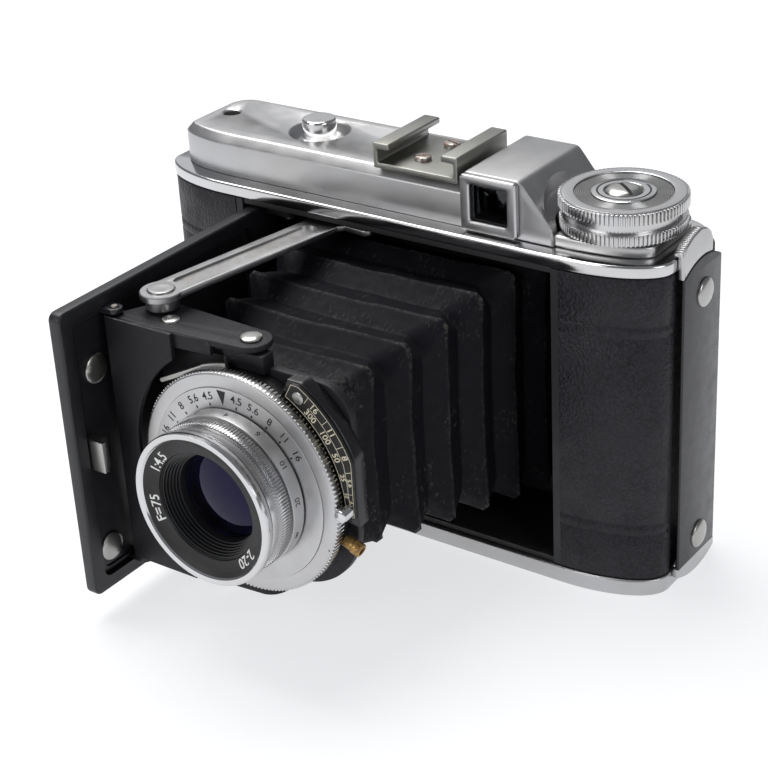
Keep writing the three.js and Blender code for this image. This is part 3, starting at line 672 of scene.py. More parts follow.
section = [(HOUSE_INSET, HOUSE_Z), (HOUSE_INSET, 81.95), (3.97, 82.2), (4.15, 82.42), (5.45, 83.72),
           (5.65, 83.9), (5.9, 83.98), (6.4, 84.0)]
block = loft([[(x, y, z) for x, y in house_plan(inset)] for inset, z in section])
dish = [(4.0, 77.4), (4.0, 81.3), (4.2, 81.45), (5.0, 81.6), (5.6, 82.1), (6.3, 83.2), (6.75, 83.85),
        (7.2, 84.05), (7.2, 86)]
cable_hole = [(1.9, 78), (1.9, 83.6), (2.2, 83.9), (2.5, 84.05), (2.5, 86)]
block = carve(block, lathe("z", dish, *BUTTON, 72), lathe("z", cable_hole, *CABLE, 48))
make("housing_block", "body", block, SATIN, ["top_housing"])
# Painted shade: near-black discs down in the release button's dish and in the cable hole
for name, place, r, low in (("dish_floor_shade", BUTTON, 3.95, 77.6), ("cable_hole_shade", CABLE, 1.85, 79.6)):
    make(name, "body", lathe("z", [(r, low), (r, low + 0.3)], *place, 32), LINING_AND_SHADE)

half = plan(HOUSE_INSET)
half = half[:len(half) // 2]
platform = [(30.0, HOUSE_INSET)] + half + [(30.0, DEPTH - HOUSE_INSET)]
make("housing_platform", "body", prism("z", platform, HOUSE_Z, 77.5, edge=0.45), SATIN)

side = [(18.2, HOUSE_Z), (38.8, HOUSE_Z), (38.8, 78.2), (31.3, 87.5), (18.2, 87.5)]
side = side[:2] + fillet(side, 1.0, 5)[12:]  # the lower corners stay sharp
window = rectangle(20.4, 29.1, 77.7, 85.6, 0.5, 3)
hump = prism("y", side, 3.2, 26.6, [window], edge=0.4)
scoop = [(13.4, 77.5), (13.4, 79.2), (13.9, 79.9), (14.8, 80.5), (15.4, 81.4), (15.6, 82.4), (15.6, 95)]
make("housing_hump", "body", carve(hump, lathe("z", scoop, *KNOB_AXIS, 128)), BRUSHED)

bezel = prism("y", rectangle(18.2, 31.3, 75.5, 87.4, 0.9), 1.7, 3.25, [window], edge=0.45, steps=4)
make("finder_bezel", "body", bezel, SATIN, ["viewfinder_bezel"])
mask = prism("y", offset(window, 0.02), 2.6, 24.0, [offset(window, 0.45)], edge=0.1)
make("finder_mask", "body", mask, LINING_AND_SHADE)
for place, front, back, node in (("front", 2.6, 5.2, "lens"), ("rear", 24.4, 25.4, "eyepiece")):
    pane = prism("y", rectangle(20.5, 29.0, 77.8, 85.5, 0.4, 3), front, back, edge=0.3)
    make(f"finder_{place}_glass", "body", pane, FINDER_GLASS, ["viewfinder_" + node])

# ---- accessory shoe
left, right, floor_z, lip_z, top_z = -4.0, 16.6, 85.3, 88.2, 89.6
rail = [(left, 84.1), (right, 84.1), (right, top_z), (right - 3.95, top_z), (right - 3.95, lip_z),
        (right - 1, lip_z), (right - 1, floor_z), (left + 1, floor_z), (left + 1, lip_z),
        (left + 3.95, lip_z), (left + 3.95, top_z), (left, top_z)]
shoe = prism("y", fillet(rail, 0.45, 4), 3.6, 22.6, edge=0.25)
make("shoe_finish", "body", shoe, SHOE, ["accessory_shoe"])


def slotted(x, y, profile, reach, floor, half_width, degrees):
    """A turned screw head with a straight slot."""
    slot = spun(rectangle(-reach, reach, -half_width, half_width), degrees, x, y)
    return carve(lathe("z", profile, x, y, 64), prism("z", slot, floor, floor + 4, edge=0))


head = [(1.78, 84.4), (1.8, 85.9), (1.65, 86.15), (1.3, 86.28), (0.7, 86.3)]
for i, x, y, degrees in ((1, 4.4, 9.4, 35), (2, 5.4, 18.8, -15)):
    screw = slotted(x, y, head, 2.6, 85.85, 0.24, degrees)
    make(f"shoe_screw_head_{i}", "body", screw, STEEL, [f"shoe_screw_{i}"])

# ---- leather panels
MARGIN = 1.8  # bare painted strip beside the opening
BED = 0.8  # inset of the leather's underside


def embossed(z0, z1, face, first):
    """Levels (z, inset) of a leather face with a double embossed line near both ends."""
    deep = face + 0.2
    levels = [(z0, deep), (z0 + 0.12, face + 0.08), (z0 + 0.35, face)]
    for line in (z0 + first, z0 + first + 2.4):
        levels += [(line - 0.45, face), (line - 0.15, deep), (line + 0.15, deep), (line + 0.45, face)]
    return levels + [(z0 + z1 - z, inset) for z, inset in reversed(levels)]


def panel(name, side, last, node):
    """Leatherette from the opening round one nose to y = last."""
    edge = (OPENING[1] if side > 0 else -OPENING[0]) + MARGIN
    under = [(HALF_W - BED, last)] + nose(BED, HALF_W - BED)[::-1] + [(edge, BED)]
    rings = []
    for z, inset in embossed(4.0, 72.1, 0.3, 10.4):
        ring = [(edge, inset)] + nose(inset, HALF_W - inset) + [(HALF_W - inset, last)] + under
        rings.append([(side * x, y, z) for x, y in ring[::side]])
    make(name, "body", loft(rings), LEATHER, [node], angle=50)


for name, x in (("opening_edge_right", OPENING[1]), ("opening_edge_left", OPENING[0] - MARGIN + 0.1)):
    strip = prism("z", rectangle(x, x + MARGIN - 0.1, 0.45, 0.85), 4.1, 72.0, edge=0.1)
    make(name, "body", strip, EDGE_PAINT)
panel("right_leatherette", 1, 9.9, "right_leather")
panel("left_leatherette", -1, 19.6, "left_leather")

# ---- door
DOOR_X = (DOOR.x0, DOOR.x0 + 3.0)
TRAY_X = DOOR_X[1] - 1.5  # the tray's floor
INNER_X = TRAY_X + 0.1  # foot of what stands on that floor
plate = prism("x", rectangle(-61.5, 7.7, 5.6, 70.4, 1.8, 8), *DOOR_X, edge=0.5, steps=4)
tray = prism("x", rectangle(-58.3, -2, 8.6, 67.4, 2.0, 8), TRAY_X, TRAY_X + 6, edge=0)
make("door_pan", "door", carve(plate, tray), PAINT, ["door_plate"])
bead = prism("x", rectangle(-57.9, -2.4, 9.0, 67.0, 2.0, 8), TRAY_X - 0.1, TRAY_X + 0.45,
             [rectangle(-56.9, -3.4, 10.0, 66.0, 1.6, 8)], edge=0.2)
make("door_bead", "door", bead, PAINT)
for kind, places, half, pin, hole_r, shape in (
        ("door", (69.25, 6.75), 0.85, DOOR_PIN, 1.1, bar((DOOR_X[0] + 2, 5.2), DOOR_PIN, 2.0, 2.1)),
        ("yoke", (66.9, 9.1), 0.6, YOKE_PIN, 0.8, bar((DOOR_X[1] - 1, -48), YOKE_PIN, 1.7))):
    hole = circle(hole_r, *pin, 24)
    for end, z in zip(("top", "bottom"), places):
        make(f"{kind}_lug_{end}", "door", prism("z", shape, z - half, z + half, [hole], edge=0.2), PAINT)

rings = []
for x, inset in ((-37.1, 0.35), (-37.04, 0.15), (-36.9, 0.02), (-36.6, 0.0)):
    rings.append([(x, u, v) for u, v in offset(rectangle(-59, -3, 8.2, 67.8, 2, 8), inset)[::-1]])
make("door_leatherette", "door", loft(rings), LEATHER, ["door_leather"], angle=50)
pin = [(0.55, 8.2), (0.7, 8.35), (0.7, 67.65), (0.55, 67.8)]
make("yoke_pin_finish", "door", lathe("z", pin, *YOKE_PIN, 32), PIN_STEEL, ["yoke_hinge_pin"])


def dome(x, r, y, z, height=1.0):
    """A rivet head that stands off a face turned along x."""
    profile = [(r, x)]
    for degrees in range(0, 90, 9):
        c, s = polar(1, degrees)
        profile.append((r * c, x + 0.25 + (height - 0.25) * s))
    return lathe("x", profile + [(0, x + height)], y, z, 64)


for name, y, z in (("upper", -52.0, 54.8), ("lower", -54.2, 14.0)):
    make(f"door_stud_{name}", "door", dome(INNER_X, 3.2, y, z), NICKEL, [f"door_rivet_{name}"])
hook = [(INNER_X, -57.9), (-29.9, -57.9), (-29.9, -56.4), (-31.0, -57.0), (-31.0, -55.0), (INNER_X, -55.0)]
hook = prism("z", fillet(hook, 0.35, 3), 34.5, 41.5, edge=0.25)
make("door_catch", "door", hook, NICKEL, ["door_latch_hook"])


# ---- struts
def crossing(p, q, a, b):
    """Where segment pq crosses segment ab, or None."""
    d, e = (q[0] - p[0], q[1] - p[1]), (b[0] - a[0], b[1] - a[1])
    det = d[0] * e[1] - d[1] * e[0]
    if abs(det) < 1e-9:
        return None
    t = ((a[0] - p[0]) * e[1] - (a[1] - p[1]) * e[0]) / det
    u = ((a[0] - p[0]) * d[1] - (a[1] - p[1]) * d[0]) / det
    return (p[0] + d[0] * t, p[1] + d[1] * t) if 0 <= t <= 1 and 0 <= u <= 1 else None


def sides(loop):
    """The two ends of each side of an outline."""
    return zip(loop, loop[1:] + loop[:1])


def inside(p, loop):
    """True if the point is in or on a convex anticlockwise outline."""
    return all((b[0] - a[0]) * (p[1] - a[1]) - (b[1] - a[1]) * (p[0] - a[0]) > -1e-6 for a, b in sides(loop))


def merged(centre, loops):
    """The outline of convex shapes that all hold the centre point."""
    found = []
    for i, loop in enumerate(loops):
        others = loops[:i] + loops[i + 1:]
        for a, b in sides(loop):
            if not any(inside(a, other) for other in others):
                found.append(a)
            for other in others:
                for c, d in sides(other):
                    hit = crossing(a, b, c, d)
                    if hit and not any(inside(hit, third) for third in others if third is not other):
                        found.append(hit)
    found.sort(key=lambda p: math.atan2(p[1] - centre[1], p[0] - centre[0]))
    return [p for i, p in enumerate(found) if math.dist(p, found[i - 1]) > 0.01]


def mirrored(geometry):
    """The same solid below the lens axis."""
    verts, faces = geometry
    return [(x, y, 2 * LENS_Z - z) for x, y, z in verts], [f[::-1] for f in faces]


BOTH = (("top", lambda geometry: geometry), ("bottom", mirrored))

wing = bar(STRUT_PIVOT, (-6.8, 3.6), 2.6, 1.5, 8)
strut = merged(STRUT_PIVOT, [bar(STRUT_PIVOT, STRUT_END, 4.0), circle(5.2, *STRUT_PIVOT, 64), wing])
holes = [circle(1.3, *STRUT_PIVOT, 32), circle(3.0, *STRUT_END, 48)]
groove = prism("z", bar((-17.4, -3), (-23.6, -35.5), 2.2), 69.5, 72, edge=0)
strut = carve(prism("z", strut, 68.6, 70.0, holes, edge=0.28), groove)
rivet = [(3.2, 66.3), (3.4, 66.5), (3.4, 68.5), (4.3, 68.6), (4.4, 68.75), (4.4, 69.8), (4.2, 70.0),
         (2.95, 70.02), (2.85, 69.85), (2.75, 69.9), (2.75, 70.2), (2.6, 70.38), (2.3, 70.45), (1.2, 70.36),
         (0, 70.34)]
rivet = lathe("z", rivet, *STRUT_END, 72)
pivot = [(1.9, 67.5), (2.2, 67.7), (2.3, 68.0), (2.3, 68.4), (1.2, 68.4), (1.2, 70.7)]
pivot = lathe("z", pivot, *STRUT_PIVOT, 48)
for (end, placed), body in zip(BOTH, ("strut_upper", "strut_lower")):
    make(f"strut_bar_{end}", body, placed(strut), STRUT, [f"strut_{end}"])
    make(f"strut_rivet_{end}", body, placed(rivet), STRUT)
    make(f"strut_pivot_{end}", "body", placed(pivot), NICKEL, [f"strut_pin_{end}"])

# ---- yoke
arm = arc(*BOARD_PIN, 4.2, -80, 100, 24) + [(-22.5, -38.2), (-27.2, -39.4), (-31.0, -46.4)]
arm += arc(*YOKE_PIN, 1.7, 110, 250, 12) + [(-30.6, -50.0)]
arm = prism("z", arm, 64.7, 66.0, [circle(0.8, *YOKE_PIN, 24), circle(1.25, *BOARD_PIN, 32)], edge=0.25)
flange = [(-30.0, -50.1), (-27, -50.1), (-7.0, -48.3), (-7.0, -47.2), (-27, -49.0), (-30.0, -49.0)]
flange = prism("z", flange, 62.7, 65.8, edge=0.2)
BITE_R, WEB_X = 27.2, (-32.6, -15.5)  # the web's round cut-out and its width
reach = math.degrees(math.acos(-WEB_X[1] / BITE_R))
web = arc(0, LENS_Z, BITE_R, 180 + reach, 180 - reach, 40)
web = [(WEB_X[0], 10.0), (WEB_X[1], 10.0)] + web + [(WEB_X[1], 66.0), (WEB_X[0], 66.0)]
barrel = [(0.8, 10.0), (1.5, 10.0), (1.7, 10.2), (1.7, 65.8), (1.5, 66.0), (0.8, 66.0)]
for name, geometry in (
        ("arm_top", arm), ("arm_bottom", mirrored(arm)), ("web", prism("y", web, -50.2, -49.0, edge=0.25)),
        ("flange_top", flange), ("flange_bottom", mirrored(flange)),
        ("side", prism("z", rectangle(-32.6, -31.4, -50.0, -46.6, 0.3, 2), 10.2, 65.8, edge=0.2)),
        ("barrel", lathe("z", barrel, *YOKE_PIN, 40, closed=True))):
    make("yoke_" + name, "yoke", geometry, CRACKLE, ["yoke"] if name == "arm_top" else [])
stud = [(1.9, 65.8), (1.9, 66.15), (1.7, 66.4), (1.2, 66.55), (0, 66.6)]
make("yoke_stud", "yoke", lathe("z", stud, -19.5, -44.9, 48), NICKEL)

# ---- lens standard
# The lower right corner is rounder than the others, as in the photograph.
board = rectangle(-23.5, 23.5, 14.5, 61.5, 7, 12)[:39] + arc(6.5, 31.5, 17, 270, 360, 24)
board = prism("y", board, -45, -43, [circle(12.4, 0, LENS_Z, 64)], edge=0.3)
make("board_plate", "standard", board, CRACKLE, ["lens_board"])
ear = prism("z", rectangle(-5.5, 4.5, -46.5, -43.0, 0.4, 3), 60.5, 64.3, edge=0.25)
pin = [(1.15, 63.8), (1.15, 66.05), (2.1, 66.05), (2.2, 66.2), (2.15, 66.5), (1.8, 66.72), (1.0, 66.8)]
pin = lathe("z", pin, *BOARD_PIN, 48)
for end, placed in BOTH:
    make(f"board_ear_{end}", "standard", placed(ear), CRACKLE)
    make(f"board_pin_{end}", "standard", placed(pin), NICKEL)


def lens_lathe(profile, n=96, closed=False):
    """A body turned round the lens axis."""
    return lathe("y", profile, 0, LENS_Z, n, closed)


def turned_ring(profile, n=128, r=0.12):
    """A ring round the lens axis from a closed profile of (radius, y) points, its corners eased."""
    return lens_lathe(fillet(profile, r, 3), n, closed=True)


def sector(r_in, r_out, a0, a1, x_max, z_max):
    """A dial sector whose outer edge is trimmed along two straight lines."""
    return [(min(x, x_max), min(z, z_max)) for x, z in band(r_in, r_out, a0, a1, 60)]


drum = [(12.6, -45.1), (22.6, -45.1), (22.6, -49.0), (20.6, -49.0), (20.6, -51.2), (12.6, -51.2)]
make("shutter_drum", "standard", turned_ring(drum), GLOSS, ["shutter_housing"])
wing = prism("y", sector(15, 28.6, -7, 66, 26.4, 62.4), -48.4, -45.1, edge=0.3)
make("shutter_wing", "standard", wing, GLOSS)

DEPTH_Y = -52.0  # face of the depth-of-field scale
POINTER = 96  # its pointer's angle, off the vertical as in the photograph
face = turned_ring([(14.2, -51.3), (14.2, DEPTH_Y), (20.68, DEPTH_Y), (20.68, -51.3)], 160, 0.06)
make("depth_face", "standard", face, DIAL, ["depth_scale_plate"])
marks = []
for k, label in enumerate(("4.5", "5.6", "8", "11", "16")):
    for sign in (-1, 1):
        angle = POINTER - sign * (11 + 12.5 * k)
        marks += [dial(label, 2.3, 18.9, angle, DEPTH_Y, 0.02), tick(16.9, 17.5, angle, DEPTH_Y, 0.35)]
pointer = [(-3.1, LENS_Z + 20.1), (-1.76, LENS_Z + 17.0), (-0.9, LENS_Z + 20.1)]
pointer = prism("y", pointer, DEPTH_Y - 0.03, DEPTH_Y + 0.03, edge=0)
make("depth_figures", "standard", joined(*marks, pointer), INK)

SCALE_Y = -49.2  # face of the speed and aperture scale
SCALE_R = 24.15  # its inner rule
scale = prism("y", sector(23.95, 28.3, -3, 62, 26.2, 62.2), SCALE_Y, -48.45, edge=0.12)
make("speed_scale", "standard", scale, SCALE, ["speed_scale_plate"])


def scale_radius(angle, share):
    """A radius between the scale's inner rule and its outer edge, which is trimmed straight in two places."""
    reach = min(28.1, 26.0 / polar(1, angle)[0], 24.0 / polar(1, max(angle, 20))[1])
    return SCALE_R + (reach - SCALE_R) * share


def scale_line(a0, a1, share, n=40):
    """A thin engraved line along the plate."""
    rows = []
    for half, order in ((0.055, range(n + 1)), (-0.055, range(n, -1, -1))):
        for k in order:
            a = a0 + (a1 - a0) * k / n
            rows.append(on_dial(scale_radius(a, share) + half, a))
    return prism("y", rows, SCALE_Y - 0.03, SCALE_Y + 0.05, edge=0)


def scale_tick(angle, share):
    """A thin line across the plate, from that share of its width to the outer edge."""
    return tick(scale_radius(angle, share), scale_radius(angle, 1), angle, SCALE_Y + 0.01, 0.11)


ENDS, MIDDLE = (-2.4, 61.4), 0.52  # the scale's end angles, and the rule between its two rows
SPEEDS = (("5", 1), ("10", 8), ("25", 16.5), ("50", 26), ("100", 36), ("300", 47))
STOPS = (("4.5", 4), ("5.6", 14), ("8", 25), ("11", 36.5), ("16", 48))
rules = [scale_line(*ENDS, 0.0), scale_line(*ENDS, 1.0), scale_line(ENDS[0], 50, MIDDLE)]
rules += [scale_tick(angle, 0) for angle in ENDS]
for row, share in ((SPEEDS, 0.25), (STOPS, 0.76)):
    for label, angle in row:
        size = 0.44 * (scale_radius(angle, 1) - SCALE_R) + 0.25
        rules.append(dial(label, size, scale_radius(angle, share), angle, SCALE_Y, 0.025))
        if row is STOPS:
            rules.append(scale_tick(angle + 4.6, MIDDLE))
screw = [(1.25, -48.6), (1.25, -49.28), (1.05, -49.4), (0.5, -49.46), (0, -49.48)]
make("scale_screw", "standard", lathe("y", screw, *on_dial(26.0, 56), 32), NICKEL)
make("speed_figures", "standard", joined(*rules), CREAM)

tube = [(0.9, 23.4), (1.25, 23.4), (1.25, 25.4), (1.45, 25.5), (1.45, 27.2), (1.3, 27.4), (0.9, 27.4)]
verts, faces = lathe("x", tube, 0, 0, 40, closed=True)
places = spun([(x, z) for x, _, z in verts], -21, 0, LENS_Z)
plug = [(x, y - 47.0, z) for (x, z), (_, y, _) in zip(places, verts)]
make("flash_socket", "standard", (plug, faces), BRASS, ["sync_socket"])

knurl = toothed(23.8, 0.35, 160, 0, LENS_Z)
knurl = prism("y", knurl, -51.4, -49.2, [circle(20.8, 0, LENS_Z, 160)], edge=0.1, steps=2)
make("speed_rim", "speed_ring", knurl, RING, ["speed_ring"])
face = [(20.72, -50.0), (20.72, -51.75), (23.25, -51.6), (23.5, -51.35), (23.5, -50.0)]
make("speed_face", "speed_ring", turned_ring(face, 160, 0.06), DIAL)
marks = joined(tick(21.4, 23.1, -22, -51.6, 0.3), tick(21.6, 22.4, -88, -51.6, 0.3))
make("speed_marks", "speed_ring", marks, INK)
sweep = prism("y", band(22.9, 24.4, 97, 113), -49.0, -48.0, edge=0.15)
make("cocking_sector", "cocking_lever", sweep, NICKEL, ["cocking_lever"])
finger = bar(on_dial(23.7, 111), (-20.2, LENS_Z + 16.4), 0.65, 0.5, 6)
make("cocking_finger", "cocking_lever", prism("y", finger, -48.9, -48.1, edge=0.15), NICKEL)
post = [(1.35, -49.9), (1.4, -50.1), (1.4, -52.2), (1.3, -52.55), (0.95, -52.75), (0, -52.8)]
post = lathe("y", post, *on_dial(25.2, 1.5), 40)
make("aperture_post", "aperture_lever", post, CHROME, ["aperture_lever"])
tab = prism("y", band(24.0, 25.6, -1.5, 4.0, 6), -50.6, -49.9, edge=0.15)
make("aperture_tab", "aperture_lever", tab, CHROME)

# ---- focusing ring and front cell
FOCUS_R = 16.5  # the smooth band with the distances
barrel = turned_ring([(13.2, -55.5), (FOCUS_R, -55.5), (FOCUS_R, -52.3), (13.2, -52.3)], 160)
make("focus_band", "focus_ring", barrel, DIAL, ["focus_ring"])
grip = toothed(16.25, 0.3, 150, 0, LENS_Z)
grip = prism("y", grip, -58.4, -55.7, [circle(13.2, 0, LENS_Z, 150)], edge=0.12, steps=2)
make("focus_grip", "focus_ring", grip, RING)
collar = turned_ring([(15.0, -60.9), (15.75, -60.9), (15.5, -58.0), (15.0, -58.0)], 160, 0.1)
make("focus_collar", "focus_ring", collar, RING)
distances = []
for k, label in enumerate(("1", "1.2", "1.5", "2", "2.5", "3", "4", "6", "10", "20", "∞")):
    distances.append(bent(label, 1.9, 250 - 27 * k, FOCUS_R, lambda v, w: (FOCUS_R + w, -53.9 - v)))
make("focus_figures", "focus_ring", joined(*distances), INK)

rim = [(14.7, -63.0), (15.0, -63.45), (15.5, -63.6), (16.1, -63.5), (16.3, -63.2), (16.3, -61.9),
       (16.1, -61.5), (14.95, -61.1), (14.95, -58.6), (12.9, -58.6), (12.9, -61.8)]
make("cell_rim", "front_cell", lens_lathe(rim, 160, closed=True), LENS_CHROME, ["front_cell"])
cone = [(14.75, -63.05), (13.9, -62.5), (11.6, -61.9), (11.45, -61.5), (11.25, -61.5)]
for k in range(6):
    cone += [(11.25 - 0.3 * k, -61.3 + 0.62 * k), (10.98 - 0.3 * k, -61.25 + 0.62 * k)]
cone += [(9.35, -57.6), (9.2, -52.0), (12.7, -52.0), (12.7, -61.9)]
make("cell_baffle", "front_cell", lens_lathe(cone, 128, closed=True), SCALE)


def on_cone(v, w):
    """The radius and y of a point of the engraving round the front lens."""
    return 12.75 + v, -62.21 - 0.26 * v - w


engraved = []
for text, angle in (("F=75", 196), ("1:4.5", 146), ("2-20", 318)):
    engraved.append(bent(text, 2.9, angle, -12.9, on_cone, 0.035))
make("cell_figures", "front_cell", joined(*engraved), WHITE_INK)


def lens(r, front, back, bulge):
    """A lens with a domed front."""
    steps = [k / 12 for k in range(12, -1, -1)]
    return lens_lathe([(r, back)] + [(r * t, front - bulge * (1 - t ** 2)) for t in steps])


make("front_element", "front_cell", lens(9.1, -56.6, -53.5, 1.6), GLASS, ["front_lens"], angle=60)
make("rear_element", "standard", lens(9.2, -42.2, -40.4, 0.6), GLASS, ["rear_lens"], angle=60)
rear = [(9.4, -39.6), (9.4, -48.5), (12.4, -48.5), (12.4, -46.5), (11.9, -46.5), (11.9, -39.6)]
make("rear_barrel", "standard", turned_ring(rear), GLOSS, ["rear_cell"])
blades = []
blade = [(5.5, -2.0), (12.2, -1.0), (12.2, 3.4), (8.0, 4.2), (5.2, 2.4)]
for k in range(10):
    low = -49.15 + 0.02 * (k % 2)
    blades.append(prism("y", spun(blade, 36 * k, 0, LENS_Z), low, low + 0.1, edge=0))
make("iris_leaves", "standard", joined(*blades), PIN_STEEL, ["iris_blades"])

# ---- bellows
FRONT_Y, REAR_Y = -42.8, 22.9
RIDGES = ((-34.0, 24.7, 22.7), (-24.2, 26.5, 24.0), (-13.8, 27.6, 25.4), (-3.0, 28.0, 26.8),
          (7.4, 28.6, 27.8), (17.0, 29.4, 28.4))  # y, half width, half height


def bellows_ring(y, hx, hz, c, sag):
    """A ring with corners cut by c, finely divided so that its sides sag a little.

    Towards the lens it is drawn in at the sides, and more at the bottom.
    """
    taper = min(1.0, (REAR_Y - y) / (REAR_Y - RIDGES[0][0]))
    hx, low = hx * (1 - 0.15 * taper), hz * (1 - 0.26 * taper)
    corners = [(hx - c, -low), (hx, c - low), (hx, hz - c), (hx - c, hz)]
    corners += [(-x, z) for x, z in reversed(corners)]
    ring = []
    for a, b in sides(corners):
        n = 3 if math.dist(a, b) < 8 else 18  # a pinched corner or a side
        for k in range(n):
            s = k / n
            x, z = a[0] + (b[0] - a[0]) * s, a[1] + (b[1] - a[1]) * s
            size = math.hypot(x, z)
            push = noise.noise(Vector((x * 0.11, y * 0.25, z * 0.11))) * 0.45
            push -= sag * math.sin(math.pi * s) if n > 3 else 0
            ring.append((x + x / size * push, y, LENS_Z + z + z / size * push))
    return ring


levels = [(FRONT_Y, 21.0, 20.6, 2.0, 0.0)]
for i, (y, hx, hz) in enumerate(RIDGES):
    for shift, sink, pinch in ((-0.75, 0.55, 1.5), (-0.3, 0.06, 1.2), (0.25, 0.06, 1.2), (0.6, 0.5, 1.5)):
        levels.append((y + shift, hx - sink, hz - sink, pinch, 0.5))
    if i + 1 < len(RIDGES):
        y2, hx2, hz2 = RIDGES[i + 1]
        middle = y + (y2 - y) * 0.54
        low_x, low_z = (hx + hx2) / 2 - 2.9, (hz + hz2) / 2 - 2.6
        for shift, rise in ((-0.55, 0.5), (-0.2, 0.05), (0.2, 0.05), (0.7, 0.45)):
            levels.append((middle + shift, low_x + rise, low_z + rise, 3.6, 0.2))
levels.append((REAR_Y, 27.0, 26.0, 2.0, 0.0))
levels += [(y, hx - 0.7, hz - 0.7, c, sag) for y, hx, hz, c, sag in reversed(levels)]  # the inside
skin = loft([bellows_ring(*level) for level in levels], wrapped=True)
bellows = make("bellows_skin", "body", skin, CLOTH, ["bellows"], angle=60)
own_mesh(bellows)

# ---- winding knob and release
TOP = 85.2  # the knob's rim
KNOB_SLOT = -38  # the screw slot's angle


def knob_ring(r, z0, z1):
    hole = circle(11.1, *KNOB_AXIS, 90)
    return prism("z", toothed(r, 0.42, 90, *KNOB_AXIS), z0, z1, [hole], edge=0.14, steps=2)


upper, lower = knob_ring(KNOB_R, 82.6, 84.95), knob_ring(KNOB_R - 0.2, 78.3, 80.5)
make("knob_upper_ring", "winding_knob", upper, RING, ["winding_knob"])
make("knob_lower_ring", "winding_knob", lower, RING)
face = [(2.3, 66.3), (2.5, 66.5), (2.5, 78.3), (11.2, 78.3), (11.2, 80.2), (11.4, 80.4), (11.4, 82.7),
        (12.3, 82.9), (12.4, 84.9), (12.2, 85.12), (11.9, TOP), (10.1, TOP), (9.85, 85.1), (9.8, 84.5),
        (6.4, 84.5), (6.4, 85.1), (6.2, TOP), (4.1, TOP), (3.95, 85.1), (3.9, 84.7)]
make("knob_face", "winding_knob", lathe("z", face, *KNOB_AXIS, 128), RING)
grooves = []
for k in range(9):
    r = 9.78 - 0.375 * k
    grooves += [(r, 84.6), (r - 0.1, 84.86), (r - 0.25, 84.86), (r - 0.35, 84.6)]
grooves += [(6.41, 84.45), (9.79, 84.45)]
make("knob_grooves", "winding_knob", lathe("z", grooves, *KNOB_AXIS, 128, closed=True), TARNISH)
key = spun(rectangle(-4.0, 4.0, -0.6, 0.6, 0.2, 2), 0, *KNOB_AXIS)
key = prism("z", key, 66.8, 69.2, edge=0.15)
make("knob_key", "winding_knob", key, PIN_STEEL)
slit = arc(*KNOB_AXIS, 5.45, 120, 420, 60) + arc(*KNOB_AXIS, 5.05, 420, 120, 60)
slit = prism("z", slit, TOP - 0.1, TOP + 0.02, edge=0)
make("knob_slit", "winding_knob", slit, INK)
head = [(3.6, 84.4), (3.7, 84.8), (3.65, 85.15), (3.3, 85.5), (2.6, 85.8), (1.5, 85.96), (0, 86.0)]
head = slotted(*KNOB_AXIS, head, 5, 85.25, 0.4, KNOB_SLOT)
make("knob_screw_head", "winding_knob", head, NICKEL, ["knob_screw"])
fill = spun(rectangle(-3.3, 3.3, -0.38, 0.38), KNOB_SLOT, *KNOB_AXIS)
make("knob_screw_slot", "winding_knob", prism("z", fill, 85.15, 85.32, edge=0), INK)
cap = [(3.75, 79.95), (3.75, 86.35), (3.68, 86.65), (3.45, 86.88), (3.1, 86.97), (2.2, 86.92),
       (1.1, 86.84), (0, 86.8)]
make("release_cap", "release_button", lathe("z", cap, *BUTTON, 64), CHROME, ["release_button"])

# ---- back cover and latch
RED = (-12.0, LENS_Z)  # the red window's place (x, z)


def round_back(inset, first=0):
    """Round the body's two rear corners, from the latch side at the first angle to the hinge side."""
    r = CORNER - inset
    latch_side = arc(HALF_W - CORNER, DEPTH - CORNER, r, first, 90, 10)
    return latch_side + arc(CORNER - HALF_W, DEPTH - CORNER, r, 90, 168, 10)


def window_bar(r, y0, y1, n=64):
    """A round bar along y on the red window's axis."""
    return lathe("y", [(r, y0), (r, y1)], *RED, n)


COVER_Z = (4.4, 71.6)  # ends of the back leather and the hinge leaf
shell = [(HALF_W - 1.1, 10.3)] + round_back(1.1) + round_back(1.9)[::-1] + [(HALF_W - 1.9, 10.3)]
cover = carve(prism("z", shell, 4.2, 71.8, edge=0.2), window_bar(4.6, 28, 34))
make("back_shell", "back", cover, PAINT, ["back_cover"])
knuckle = [(1.0, 4.2), (1.6, 4.2), (1.8, 4.4), (1.8, 71.6), (1.6, 71.8), (1.0, 71.8)]
make("back_knuckle", "back", lathe("z", knuckle, *BACK_PIN, 40, closed=True), DULL)
leaf = prism("z", rectangle(-61.2, -60.4, 23.8, 27.2), *COVER_Z, edge=0.15)
make("back_hinge_leaf", "back", leaf, EDGE_PAINT)
# A light trap on the body: a strip that closes the slit beside the hinge and curls behind its knuckle.
trap = arc(*BACK_PIN, 2.95, -98, -38, 12) + arc(*BACK_PIN, 2.65, -38, -98, 12)
trap = prism("z", [(-61.7, 20.15)] + trap + [(-61.7, 20.6)], 4.6, 71.4, edge=0.05, steps=1)
make("back_light_trap", "body", trap, EDGE_PAINT)

rings = []
for z, inset in embossed(*COVER_Z, 0.0, 10.0):
    ring = round_back(0.5 + inset, 22) + round_back(1.0, 22)[::-1]
    rings.append([(x, y, z) for x, y in ring])
skin = carve(loft(rings), window_bar(6.6, 26, 34, 72))
make("back_leatherette", "back", skin, LEATHER, ["back_leather"], angle=50)
rim = [(4.5, 31.0), (4.5, 31.3), (4.8, 31.5), (6.2, 31.5), (6.5, 31.3), (6.5, 30.9)]
make("window_rim", "back", lathe("y", rim, *RED, 72, closed=True), NICKEL)
pane = lathe("y", [(4.5, 30.2), (4.5, 30.65), (4.35, 30.8)], *RED, 64)
make("window_pane", "back", pane, RED_GLASS, ["red_window"])


